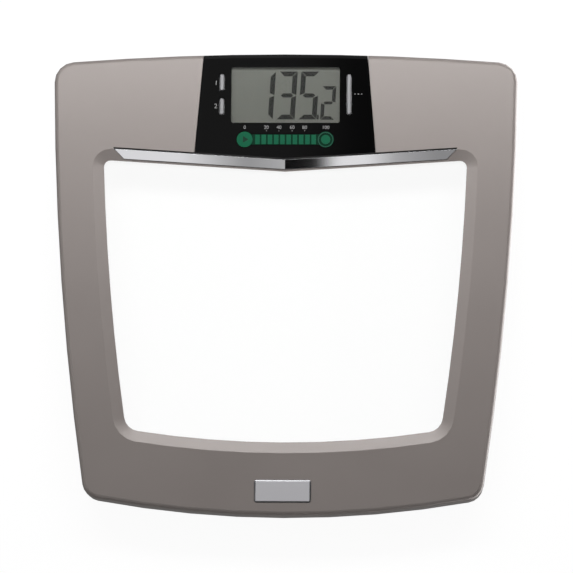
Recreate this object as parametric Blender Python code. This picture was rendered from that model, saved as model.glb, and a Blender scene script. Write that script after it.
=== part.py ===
"""Bathroom scale: a moulded frame round a clear glass platform, with a display behind it.

Metres, +Z up. X runs to the right, Y runs back towards the display, and the floor is Z = 0.
The origin is on the floor, under the middle of the scale.
"""

import math

import bmesh
import bpy
from mathutils import Matrix, Vector

for old in list(bpy.data.objects):
    bpy.data.objects.remove(old, do_unlink=True)

# Clearances and cutters
SEAT_GAP = 0.0003  # between two pieces that touch
RUN_GAP = 0.0004  # round a piece that moves or drops into its place
OVERRUN = 0.002  # how far a cutter runs past what it cuts
SOFT_EDGE = 0.0004  # the small chamfer that moulded and ground edges have
WELD = 0.000001  # points closer than this are one

# Body, seen from above
BODY_BACK_Y = 0.160
BODY_FRONT_Y = -0.160
BODY_HALF_WIDTH = 0.1605
BODY_WIDEST_Y = 0.1764
BODY_SIDE_RADIUS = 2.056
BODY_BACK_RADIUS = 1.930
BODY_FRONT_RADIUS = 0.720
BODY_BACK_CORNER = 0.014
BODY_FRONT_CORNER = 0.012
LEAST_CORNER = 0.001  # an inset outline keeps at least this radius in its corners

# Heights of the body
BODY_TOP = 0.028
TRAY_BOTTOM = 0.006
SKIRT_BOTTOM = 0.009

# Top frame
FRAME_WALL = 0.0025
EDGE_RADIUS = 0.003
BEVEL_WIDTH = 0.0076
BEVEL_DROP = 0.0025
LIP_HEIGHT = 0.0012
POCKET_RIB = 0.0016
RECESS_WALL = 0.002
RECESS_MARGIN = 0.0023
APERTURE_HALF_WIDTH = 0.050
APERTURE_CORNER = 0.002

# Display, front to back, from the back edge of the body
LCD_TO_BACK = 0.0099
LCD_WIDTH = 0.0744
LCD_DEPTH = 0.0387
LCD_CORNER = 0.001
LCD_TO_GOAL = 0.0120
GOAL_TO_FRONT = 0.0141

# Fascia over the display
FASCIA_BACK_HALF = 0.0565
FASCIA_FRONT_HALF = 0.0623

# Window over the platform
RIM_SIDE = 0.0342
RIM_FRONT = 0.0501
WINDOW_WIDEST_Y = 0.1465
WINDOW_SIDE_RADIUS = 1.614
WINDOW_FRONT_RADIUS = 0.664
WINDOW_BACK_CORNER = 0.0045
WINDOW_FRONT_CORNER = 0.011
VALLEY_SLOPE_SHARE = 0.0643  # rise of the window's back edge, per length sideways

# Chrome trim in the bevel behind the window
TRIM_SETBACK = 0.0014
TRIM_WIDTH = 0.0062
TRIM_BURIED = 0.0006
TRIM_PROUD = 0.0005
TRIM_BACK_HALF = 0.1178
TRIM_FRONT_HALF = 0.1111

# Badge plate in front of the window
BADGE_WIDTH = 0.0383
BADGE_DEPTH = 0.0152
BADGE_THICKNESS = 0.001
BADGE_PROUD = 0.0005
BADGE_CORNER = 0.0018
BADGE_TO_FRONT = 0.0090

# Glass platform and its gasket
GLASS_THICKNESS = 0.006
GLASS_BEARING = 0.0035
GASKET_THICKNESS = 0.0004
GASKET_WIDTH = 0.002

# Base tray
TRAY_FLOOR = 0.0024
TRAY_WALL = 0.002
TRAY_WALL_HEIGHT = 0.008
TRAY_CHAMFER = 0.001
LEDGE_SETBACK = 0.0045
LEDGE_WALL = 0.0032

# Housing screws, up through the tray into posts of the frame
SCREW_POST_RADIUS = 0.0034
SCREW_POST_INSET = 0.0085
SCREW_HEAD_RADIUS = 0.0026
SCREW_HEAD_HEIGHT = 0.0011
SCREW_SHANK_RADIUS = 0.0011
SCREW_LENGTH = 0.011
SCREW_HEAD_SINK = 0.0015
SIDE_SCREW_SHARES = (0.52, -0.24)  # of the way from the middle to the back or front edge
FRONT_SCREW_X = 0.045

# Feet and load cells
BACK_FOOT_TO_SIDE = 0.028
BACK_FOOT_TO_BACK = 0.032
FRONT_FOOT_TO_SIDE = 0.026
FRONT_FOOT_TO_FRONT = 0.0315
FOOT_RADIUS = 0.015
FOOT_TRAVEL = 0.0006
CUP_BOTTOM = 0.001
CUP_HEIGHT = 0.0056
CUP_WALL = 0.0016
CUP_FLOOR = 0.0015
CUP_BOSS_RADIUS = 0.003
PAD_RECESS = 0.002
WELL_WALL = 0.0018
WELL_ROOF = 0.002
CELL_WIDTH = 0.024
CELL_DEPTH = 0.018
CELL_THICKNESS = 0.0012
CELL_CORNER = 0.0015
CELL_ABOVE_CUP = 0.0044
CELL_SEAT_HEIGHT = 0.0012
CELL_SEAT_WIDTH = 0.0025
TONGUE_WIDTH = 0.009
TONGUE_LENGTH = 0.0105
TONGUE_SLOT = 0.0016
GATE_OFFSET = 0.0065
LEAD_GATE_WIDTH = 0.003
LEAD_GATE_HEIGHT = 0.0038

# Display module under the fascia
LCD_COVER_THICKNESS = 0.0023
COVER_SINK = 0.0002
LCD_PANEL_WIDTH = 0.079
LCD_PANEL_DEPTH = 0.0416
LCD_PANEL_THICKNESS = 0.0027
CARRIER_WALL = 0.0009
CARRIER_BASE = 0.0029
CARRIER_RIM = 0.0028
CARRIER_SHELF = 0.0036
ZEBRA_WIDTH = 0.0018
ZEBRA_LENGTH = 0.069
BOARD_HALF_WIDTH = 0.0575
BOARD_TO_BACK = 0.0085
BOARD_DEPTH = 0.0575
BOARD_THICKNESS = 0.0016
STAKE_INSET = 0.0036
STAKE_TO_EDGE = 0.0055
STAKE_POST_RADIUS = 0.0030
STAKE_PIN_RADIUS = 0.0011
STAKE_HEAD_RADIUS = 0.0021
STAKE_HEAD_HEIGHT = 0.0009
CHIP_SIDE = 0.010
CHIP_HEIGHT = 0.0012
CHIP_TO_BACK = 0.036

# Goal light bar: two discs joined by a strip of segments
GOAL_HALF_SPAN = 0.0279
GOAL_DISC_RADIUS = 0.00555
GOAL_STRIP_HEIGHT = 0.0072
GOAL_FLANGE = 0.001
GOAL_FLANGE_THICKNESS = 0.0013
GOAL_LEG_RADIUS = 0.002
GOAL_GROOVE = 0.0004
GOAL_RING_RADIUS = 0.0037
LED_WIDTH = 0.003
LED_DEPTH = 0.0016
LED_HEIGHT = 0.0008

# Keys and the switches under them
KEY_WIDTH = 0.0032
KEY_SPACING_X = 0.0439
USER_KEY_LENGTH = 0.0114
USER_KEY_PITCH = 0.0170
LONG_KEY_LENGTH = 0.0281
KEY_ROW_TO_BACK = 0.0290
KEY_PROUD = 0.0008
ROUND_END_SHARE = 0.4  # of the key's width
KEY_TRAVEL = 0.0006
KEY_FLANGE = 0.0007
KEY_FLANGE_THICKNESS = 0.001
KEY_STEM_HEIGHT = 0.0008
KEY_STEM_RADIUS = 0.0014
SWITCH_SIDE = 0.0056
SWITCH_HEIGHT = 0.0031
PLUNGER_RADIUS = 0.0013
PLUNGER_PROUD = 0.0008
PLUNGER_DEPTH = 0.0012

# Batteries, their bay and its door
BATTERY_RADIUS = 0.00525
BATTERY_LENGTH = 0.0445
BATTERY_NUB_RADIUS = 0.0019
BATTERY_NUB_HEIGHT = 0.0012
BATTERY_PITCH = 0.011
BATTERY_COUNT = 4
BATTERY_ABOVE_FLOOR = 0.0012
BAY_TO_WELL = 0.002  # clear space between the bay and the left foot's well
BAY_WALL = 0.0016
CONTACT_SIDE = 0.008
CONTACT_THICKNESS = 0.0004
SPRING_LENGTH = 0.003
SPRING_WIRE = 0.00025
SPRING_WIDE = 0.0030
SPRING_NARROW = 0.0020
SPRING_TURNS_SHARE = 2.5
DOOR_THICKNESS = 0.0020
DOOR_LAP = 0.001
DOOR_TAB_WIDTH = 0.006
DOOR_TAB_THICKNESS = 0.001
DOOR_TAB_REACH = 0.0017
DOOR_TAB_ROOT = 0.0015
DOOR_TAB_LIFT = 0.0008
DOOR_FINGER_WIDTH = 0.014
DOOR_FINGER_REACH = 0.0026
THUMB_RADIUS = 0.005
THUMB_DEPTH = 0.0008
BAY_SIDE_ROOM = 0.001
BAY_HEAD_ROOM = 0.0005
DOOR_SLOT_HEIGHT = 0.0024

# Unit switch, worked from under the scale
UNIT_TO_BAY = 0.0233
UNIT_TO_BACK = 0.044
UNIT_BODY_LENGTH = 0.016
UNIT_BODY_DEPTH = 0.0084
UNIT_BODY_HEIGHT = 0.0040
UNIT_KNOB_LENGTH = 0.003
UNIT_KNOB_DEPTH = 0.0024
UNIT_KNOB_SINK = 0.0003
UNIT_TRAVEL = 0.003
UNIT_PLATE_LENGTH = 0.010
UNIT_PLATE_DEPTH = 0.0044
UNIT_PLATE_THICKNESS = 0.0008

# Leads
LEAD_RADIUS = 0.0009
LEAD_BEND = 0.0025
FRONT_LEAD_OUTSET = 0.0097
BACK_LEAD_OUTSET = 0.0122
BATTERY_LEAD_RADIUS = 0.0006
BATTERY_LEAD_INSET = 0.0025
BATTERY_LEAD_DROP = 0.0025
BATTERY_LEAD_BEND = 0.001
FRONT_LEAD_END_X = 0.034
BACK_LEAD_END_X = 0.045
LEAD_END_INSET = 0.0025

# How finely curves are drawn
EDGE_STEPS = 4  # half of a back or front edge
SIDE_STEPS = 6
CORNER_STEPS = 4
ROUNDING_STEPS = 3
SMALL_CORNER_STEPS = 3
ROUND_SIDES = 24
POST_SIDES = 12
GOAL_SEGMENTS = 10
SPRING_POINTS_PER_TURN = 8

# Levels and places that follow from the sizes above
LIP_BOTTOM = BODY_TOP - BEVEL_DROP - LIP_HEIGHT
GLASS_TOP = LIP_BOTTOM - SEAT_GAP
GLASS_BOTTOM = GLASS_TOP - GLASS_THICKNESS
GASKET_TOP = GLASS_BOTTOM - SEAT_GAP
LEDGE_TOP = GASKET_TOP - GASKET_THICKNESS - SEAT_GAP
GLASS_OUTSET = LEDGE_SETBACK + GLASS_BEARING
POCKET_OUTSET = GLASS_OUTSET + RUN_GAP
TRAY_FLOOR_TOP = TRAY_BOTTOM + TRAY_FLOOR
TRAY_INSET = FRAME_WALL + RUN_GAP
TRAY_WALL_TOP = TRAY_BOTTOM + TRAY_WALL_HEIGHT
RECESS_TOP = BODY_TOP - FRAME_WALL - SEAT_GAP
RECESS_BOTTOM = RECESS_TOP - RECESS_WALL
VALLEY_SECANT_SHARE = math.hypot(1, VALLEY_SLOPE_SHARE)
TRIM_BACK_OUTSET = TRIM_SETBACK + TRIM_WIDTH
FASCIA_OUTSET = TRIM_BACK_OUTSET + SEAT_GAP
LCD_Y = BODY_BACK_Y - LCD_TO_BACK - LCD_DEPTH / 2
GOAL_Y = LCD_Y - LCD_DEPTH / 2 - LCD_TO_GOAL
FASCIA_FRONT_Y = GOAL_Y - GOAL_TO_FRONT
WINDOW_BACK_Y = FASCIA_FRONT_Y - FASCIA_OUTSET * VALLEY_SECANT_SHARE
WINDOW_FRONT_Y = BODY_FRONT_Y + RIM_FRONT
WINDOW_HALF_WIDTH = BODY_HALF_WIDTH - RIM_SIDE


# Outlines, seen from above, anticlockwise
def arc(centre, radius, start, stop, steps):
    """Points along an arc from one angle to another, both ends included."""
    angles = [start + (stop - start) * step / steps for step in range(steps + 1)]
    return [(centre[0] + radius * math.cos(a), centre[1] + radius * math.sin(a)) for a in angles]


def angle(centre, point):
    return math.atan2(point[1] - centre[1], point[0] - centre[0])


def meeting(centre_a, radius_a, centre_b, radius_b, towards):
    """The crossing of two circles that lies furthest back (towards 1) or front (towards -1)."""
    a, b = Vector(centre_a), Vector(centre_b)
    apart = (b - a).length
    along = (apart**2 + radius_a**2 - radius_b**2) / (2 * apart)
    aside = math.sqrt(radius_a**2 - along**2)
    line = (b - a) / apart
    foot = a + line * along
    crossings = [foot + Vector((-line.y, line.x)) * aside * sign for sign in (1, -1)]
    return tuple(max(crossings, key=lambda point: point.y * towards))


def whole(half):
    """A right half, front to back, with its mirror image added."""
    return half + [(-x, y) for x, y in reversed(half[1:-1])]


def front_and_side(front, side, corner):
    """The right half from the middle of the front edge to the side arc, as far as the corner centre."""
    (front_centre, front_radius), (side_centre, side_radius) = front, side
    corner_centre = meeting(
        side_centre, side_radius - corner, front_centre, front_radius - corner, -1
    )
    turn_in, turn_out = angle(front_centre, corner_centre), angle(side_centre, corner_centre)
    points = arc(front_centre, front_radius, -math.pi / 2, turn_in, EDGE_STEPS)
    points += arc(corner_centre, corner, turn_in, turn_out, CORNER_STEPS)[1:]
    return points, turn_out


def body_outline(inset):
    """The outline of the body, drawn in by inset."""
    front = ((0, BODY_FRONT_Y + BODY_FRONT_RADIUS), BODY_FRONT_RADIUS - inset)
    side = ((BODY_HALF_WIDTH - BODY_SIDE_RADIUS, BODY_WIDEST_Y), BODY_SIDE_RADIUS - inset)
    back = ((0, BODY_BACK_Y - BODY_BACK_RADIUS), BODY_BACK_RADIUS - inset)
    points, side_start = front_and_side(front, side, max(BODY_FRONT_CORNER - inset, LEAST_CORNER))
    corner = max(BODY_BACK_CORNER - inset, LEAST_CORNER)
    corner_centre = meeting(side[0], side[1] - corner, back[0], back[1] - corner, 1)
    side_stop, back_start = angle(side[0], corner_centre), angle(back[0], corner_centre)
    points += arc(side[0], side[1], side_start, side_stop, SIDE_STEPS)[1:]
    points += arc(corner_centre, corner, side_stop, back_start, CORNER_STEPS)[1:]
    points += arc(back[0], back[1], back_start, math.pi / 2, EDGE_STEPS)[1:]
    return whole(points)


def window_back_y(x, outset):
    """Where the shallow V of the window's back edge, drawn out by outset, lies at x."""
    return WINDOW_BACK_Y + outset * VALLEY_SECANT_SHARE + VALLEY_SLOPE_SHARE * abs(x)


def window_side(outset):
    """Centre and radius of the window's right side, drawn out by outset."""
    return (WINDOW_HALF_WIDTH - WINDOW_SIDE_RADIUS, WINDOW_WIDEST_Y), WINDOW_SIDE_RADIUS + outset


def window_outline(outset):
    """The outline of the window in the frame, drawn out by outset."""
    front = ((0, WINDOW_FRONT_Y + WINDOW_FRONT_RADIUS), WINDOW_FRONT_RADIUS + outset)
    side = window_side(outset)
    points, side_start = front_and_side(front, side, WINDOW_FRONT_CORNER + outset)
    corner = WINDOW_BACK_CORNER + outset
    along = Vector((1, VALLEY_SLOPE_SHARE)) / VALLEY_SECANT_SHARE
    outward = Vector((-along.y, along.x))
    start = Vector((0, window_back_y(0, outset))) - outward * corner
    to_start = start - Vector(side[0])
    half_b = to_start.dot(along)
    reach = -half_b + math.sqrt(half_b**2 - to_start.length_squared + (side[1] - corner) ** 2)
    corner_centre = tuple(start + along * reach)
    side_stop = angle(side[0], corner_centre)
    points += arc(side[0], side[1], side_start, side_stop, SIDE_STEPS)[1:]
    points += arc(corner_centre, corner, side_stop, angle((0, 0), outward), CORNER_STEPS)[1:]
    last = Vector(points[-1])
    valley = Vector((0, window_back_y(0, outset)))
    points += [tuple(last.lerp(valley, step / EDGE_STEPS)) for step in range(1, EDGE_STEPS + 1)]
    return whole(points)


def rounded(centre_x, centre_y, width, depth, corner, grow=0):
    """A rectangle with round corners, drawn out by grow."""
    radius = max(corner + grow, 0)
    half_x, half_y = width / 2 - corner, depth / 2 - corner
    points = []
    for quarter, (side_x, side_y) in enumerate(((1, 1), (-1, 1), (-1, -1), (1, -1))):
        centre = (centre_x + side_x * half_x, centre_y + side_y * half_y)
        start = quarter * math.pi / 2
        points += arc(centre, radius, start, start + math.pi / 2, SMALL_CORNER_STEPS)
    return points


def display_outline(grow, front_outset):
    """The trapezoid of the fascia, drawn out sideways by grow and run past the back edge."""
    front_y = window_back_y(FASCIA_FRONT_HALF, front_outset)
    true_front_y = window_back_y(FASCIA_FRONT_HALF, FASCIA_OUTSET)
    taper = (FASCIA_FRONT_HALF - FASCIA_BACK_HALF) / (BODY_BACK_Y - true_front_y)
    far_y = BODY_BACK_Y + OVERRUN
    front_half = FASCIA_BACK_HALF + taper * (BODY_BACK_Y - front_y) + grow
    far_half = FASCIA_BACK_HALF + taper * (BODY_BACK_Y - far_y) + grow
    valley = (0, window_back_y(0, front_outset))
    half = [valley, (front_half, front_y), (far_half, far_y)]
    return half + [(-x, y) for x, y in reversed(half[1:])]


def goal_outline(grow):
    """Two discs joined by a strip, drawn out by grow."""
    radius, half_height = GOAL_DISC_RADIUS + grow, GOAL_STRIP_HEIGHT / 2 + grow
    reach = math.pi - math.asin(half_height / radius)
    right = arc((GOAL_HALF_SPAN, GOAL_Y), radius, -reach, reach, ROUND_SIDES)
    return right + [(-x, y) for x, y in reversed(right)]


# Solids
def from_rings(rings, closed=False):
    """A body through rings of points: capped at both ends, or closed on itself like a frame."""
    shape = bmesh.new()
    loops = [[shape.verts.new(point) for point in ring] for ring in rings]
    pairs = list(zip(loops, loops[1:]))
    if closed:
        pairs.append((loops[-1], loops[0]))
    for low, high in pairs:
        for here in range(len(low)):
            after = (here + 1) % len(low)
            shape.faces.new((low[here], low[after], high[after], high[here]))
    if not closed:
        shape.faces.new(list(reversed(loops[0])))
        shape.faces.new(loops[-1])
    bmesh.ops.recalc_face_normals(shape, faces=shape.faces)
    return shape


def at(outline, z):
    return [(x, y, z) for x, y in outline]


def prism(outline, bottom, top):
    return from_rings([at(outline, bottom), at(outline, top)])


def block(centre, size):
    """A box from its centre (x, y, z) and its size."""
    x, y, z = centre
    outline = rounded(x, y, size[0], size[1], 0)[:: SMALL_CORNER_STEPS + 1]
    return prism(outline, z - size[2] / 2, z + size[2] / 2)


def turned(profile, x, y, sides):
    """A turned body: profile is (radius, z) up its outer side, closed on the axis at both ends."""
    rings = []
    for radius, z in profile:
        turns = [2 * math.pi * side / sides for side in range(sides)]
        rings.append([(x + radius * math.cos(t), y + radius * math.sin(t), z) for t in turns])
    return from_rings(rings)


def rod(x, y, radius, bottom, top, sides=POST_SIDES):
    return turned([(radius, bottom), (radius, top)], x, y, sides)


def body_solid(inset, bottom):
    """The body drawn in by inset on its sides and its top, with its rounded top edge."""
    rings = [at(body_outline(inset), bottom)]
    radius = EDGE_RADIUS - inset
    if radius <= LEAST_CORNER / 2:
        return from_rings(rings + [at(body_outline(inset), BODY_TOP - inset)])
    for step in range(ROUNDING_STEPS + 1):
        turn = math.pi / 2 * step / ROUNDING_STEPS
        drawn_in = EDGE_RADIUS - radius * math.cos(turn)
        rings.append(at(body_outline(drawn_in), BODY_TOP - EDGE_RADIUS + radius * math.sin(turn)))
    return from_rings(rings)


def together(*shapes):
    """One mesh that holds several separate bodies."""
    group = bmesh.new()
    for shape in shapes:
        mesh = bpy.data.meshes.new("part")
        shape.to_mesh(mesh)
        shape.free()
        group.from_mesh(mesh)
        bpy.data.meshes.remove(mesh)
    return group


def as_object(name, shape):
    mesh = bpy.data.meshes.new(name)
    shape.to_mesh(mesh)
    shape.free()
    obj = bpy.data.objects.new(name, mesh)
    bpy.context.scene.collection.objects.link(obj)
    return obj


def boolean(obj, operation, shape):
    """Joins, cuts or keeps what both share, and leaves the result as the object's own mesh."""
    tool = as_object("tool", shape)
    modifier = obj.modifiers.new(operation, "BOOLEAN")
    modifier.operation = operation
    modifier.object = tool
    graph = bpy.context.evaluated_depsgraph_get()
    before, after = obj.data, bpy.data.meshes.new_from_object(obj.evaluated_get(graph))
    obj.modifiers.remove(modifier)
    obj.data = after
    after.name = before.name
    bpy.data.meshes.remove(before)
    bpy.data.objects.remove(tool, do_unlink=True)


def join(obj, *shapes):
    for shape in shapes:
        boolean(obj, "UNION", shape)


def cut(obj, *shapes):
    boolean(obj, "DIFFERENCE", together(*shapes))


def paint(obj, colour, roughness, metallic=0.0, alpha=1.0, transmission=0.0):
    """Gives a piece its own material and smooth shading on its round faces."""
    material = bpy.data.materials.new(obj.name)
    material.use_nodes = True
    shader = material.node_tree.nodes["Principled BSDF"]
    shader.inputs["Base Color"].default_value = (*colour, 1)
    shader.inputs["Roughness"].default_value = roughness
    shader.inputs["Metallic"].default_value = metallic
    shader.inputs["Alpha"].default_value = alpha
    shader.inputs["Transmission Weight"].default_value = transmission
    obj.data.materials.clear()
    obj.data.materials.append(material)
    if obj.type == "MESH":
        obj.data.shade_smooth()
        obj.data.set_sharp_from_angle(angle=math.radians(35))
    return obj


def set_origin(obj, point):
    """Moves the object's origin to a point, with its solid left where it is."""
    obj.data.transform(Matrix.Translation(-Vector(point)))
    obj.location = point


def ride(obj, parent):
    """Parents a piece to the one that carries it, with both left where they are."""
    obj.parent = parent
    obj.matrix_parent_inverse = Matrix.Translation(parent.location).inverted()


def smooth_route(points, bend, steps):
    """Points along the straight runs between the given ones, each corner rounded off over bend."""
    places = [Vector(point) for point in points]
    route = [places[0]]
    for before, corner, after in zip(places, places[1:], places[2:]):
        back, on = before - corner, after - corner
        start = corner + back * min(bend / back.length, 1 / 2)
        stop = corner + on * min(bend / on.length, 1 / 2)
        for step in range(steps + 1):
            t = step / steps
            route.append(start * (1 - t) ** 2 + corner * 2 * t * (1 - t) + stop * t**2)
    return route + [places[-1]]


def tube(name, routes, radius, resolution):
    """A round tube along each route, with flat ends."""
    curve = bpy.data.curves.new(name, "CURVE")
    curve.dimensions = "3D"
    curve.bevel_depth = radius
    curve.bevel_resolution = resolution
    curve.use_fill_caps = True
    for route in routes:
        spline = curve.splines.new("POLY")
        spline.points.add(len(route) - 1)
        for point, place in zip(spline.points, route):
            point.co = (*place, 1)
    obj = bpy.data.objects.new(name, curve)
    bpy.context.scene.collection.objects.link(obj)
    return obj


def body_side_x(y, inset):
    """Where the body's right side, drawn in by inset, lies at y."""
    reach = math.sqrt((BODY_SIDE_RADIUS - inset) ** 2 - (y - BODY_WIDEST_Y) ** 2)
    return BODY_HALF_WIDTH - BODY_SIDE_RADIUS + reach


# Places of what repeats
SCREW_HEAD_TOP = TRAY_BOTTOM + SCREW_HEAD_SINK - SEAT_GAP
BADGE_Y = BODY_FRONT_Y + BADGE_TO_FRONT + BADGE_DEPTH / 2
LED_XS = (-GOAL_HALF_SPAN, 0, GOAL_HALF_SPAN)
BACK_FOOT_Y = BODY_BACK_Y - BACK_FOOT_TO_BACK
BACK_FOOT_X = body_side_x(BACK_FOOT_Y, BACK_FOOT_TO_SIDE)
FRONT_FOOT_Y = BODY_FRONT_Y + FRONT_FOOT_TO_FRONT
FRONT_FOOT_X = body_side_x(FRONT_FOOT_Y, FRONT_FOOT_TO_SIDE)
FEET = {
    "back_left": (-BACK_FOOT_X, BACK_FOOT_Y),
    "back_right": (BACK_FOOT_X, BACK_FOOT_Y),
    "front_left": (-FRONT_FOOT_X, FRONT_FOOT_Y),
    "front_right": (FRONT_FOOT_X, FRONT_FOOT_Y),
}
SCREW_PLACES = []
for share in SIDE_SCREW_SHARES:
    screw_y = share * (BODY_BACK_Y - BODY_FRONT_Y) / 2
    screw_x = body_side_x(screw_y, SCREW_POST_INSET)
    SCREW_PLACES += [(-screw_x, screw_y), (screw_x, screw_y)]
front_drop = BODY_FRONT_RADIUS - SCREW_POST_INSET
front_drop = math.sqrt(front_drop**2 - FRONT_SCREW_X**2)
for side in (-1, 1):
    SCREW_PLACES.append((side * FRONT_SCREW_X, BODY_FRONT_Y + BODY_FRONT_RADIUS - front_drop))

FASCIA_UNDERSIDE = BODY_TOP - FRAME_WALL
LCD_TOP = FASCIA_UNDERSIDE - SEAT_GAP
LCD_BOTTOM = LCD_TOP - LCD_PANEL_THICKNESS
CARRIER_TOP = LCD_BOTTOM - SEAT_GAP
CARRIER_BOTTOM = CARRIER_TOP - CARRIER_BASE
BOARD_TOP = CARRIER_BOTTOM - SEAT_GAP
BOARD_BOTTOM = BOARD_TOP - BOARD_THICKNESS
BOARD_BACK_Y = BODY_BACK_Y - BOARD_TO_BACK
BOARD_FRONT_Y = BOARD_BACK_Y - BOARD_DEPTH
BOARD_Y = (BOARD_BACK_Y + BOARD_FRONT_Y) / 2
STAKE_X = BOARD_HALF_WIDTH - STAKE_INSET
STAKE_YS = (BOARD_FRONT_Y + STAKE_TO_EDGE, BOARD_BACK_Y - STAKE_TO_EDGE)
STAKES = [(side * STAKE_X, y) for side in (-1, 1) for y in STAKE_YS]
KEY_Y = BODY_BACK_Y - KEY_ROW_TO_BACK
KEYS = {
    "user_key_1": (-KEY_SPACING_X, KEY_Y + USER_KEY_PITCH / 2, USER_KEY_LENGTH),
    "user_key_2": (-KEY_SPACING_X, KEY_Y - USER_KEY_PITCH / 2, USER_KEY_LENGTH),
    "set_key": (KEY_SPACING_X, KEY_Y, LONG_KEY_LENGTH),
}

# Levels of the feet and the load cells
CUP_TOP = CUP_BOTTOM + CUP_HEIGHT
CELL_BOTTOM = CUP_TOP + CELL_ABOVE_CUP
CELL_TOP = CELL_BOTTOM + CELL_THICKNESS
CELL_SEAT_BOTTOM = CELL_TOP + SEAT_GAP
WELL_CEILING = CELL_SEAT_BOTTOM + CELL_SEAT_HEIGHT
WELL_RADIUS = FOOT_RADIUS + FOOT_TRAVEL
GATE_REACH = math.sqrt((WELL_RADIUS + WELL_WALL / 2) ** 2 - GATE_OFFSET**2)
LEAD_GATE_Z = CELL_BOTTOM + LEAD_RADIUS + RUN_GAP - LEAD_GATE_HEIGHT / 2

# Battery bay: its inner faces, and the row of batteries in it
BAY_HALF_WIDTH = BATTERY_COUNT * BATTERY_PITCH / 2 + BAY_SIDE_ROOM
BAY_LEFT_X = WELL_RADIUS + WELL_WALL + BAY_TO_WELL + BAY_WALL - BACK_FOOT_X
BAY_X = BAY_LEFT_X + BAY_HALF_WIDTH
BAY_RIGHT_X = BAY_X + BAY_HALF_WIDTH + BAY_WALL
bay_reach = math.sqrt((BODY_BACK_RADIUS - TRAY_INSET - TRAY_WALL) ** 2 - BAY_LEFT_X**2)
BAY_BACK_Y = BODY_BACK_Y - BODY_BACK_RADIUS + bay_reach - BAY_WALL
CONTACT_ROOM = CONTACT_THICKNESS + 2 * SEAT_GAP
BAY_FRONT_Y = BAY_BACK_Y - 2 * CONTACT_ROOM - BATTERY_LENGTH - SPRING_LENGTH - SEAT_GAP
BAY_Y = (BAY_FRONT_Y + BAY_BACK_Y) / 2
BATTERY_Z = TRAY_FLOOR_TOP + BATTERY_ABOVE_FLOOR + BATTERY_RADIUS
BAY_CEILING = BATTERY_Z + BATTERY_RADIUS + BAY_HEAD_ROOM
BAY_ROOF = BAY_CEILING + BAY_WALL
BATTERY_XS = [
    BAY_X + BATTERY_PITCH * (number - (BATTERY_COUNT - 1) / 2) for number in range(BATTERY_COUNT)
]
DOOR_BACK_Y = BAY_BACK_Y + DOOR_LAP
DOOR_FRONT_Y = BAY_FRONT_Y - DOOR_LAP
DOOR_TOP = TRAY_BOTTOM + DOOR_THICKNESS
BATTERY_GATE_Y = BAY_BACK_Y - SEAT_GAP - BATTERY_LEAD_RADIUS
LEAD_RUN_YS = (BAY_BACK_Y - 2 * BATTERY_PITCH, BAY_BACK_Y - BATTERY_PITCH)
DOOR_TAB_XS = [BAY_X - BATTERY_PITCH, BAY_X + BATTERY_PITCH]
UNIT_X = BAY_RIGHT_X + UNIT_TO_BAY
UNIT_Y = BODY_BACK_Y - UNIT_TO_BACK


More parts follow.
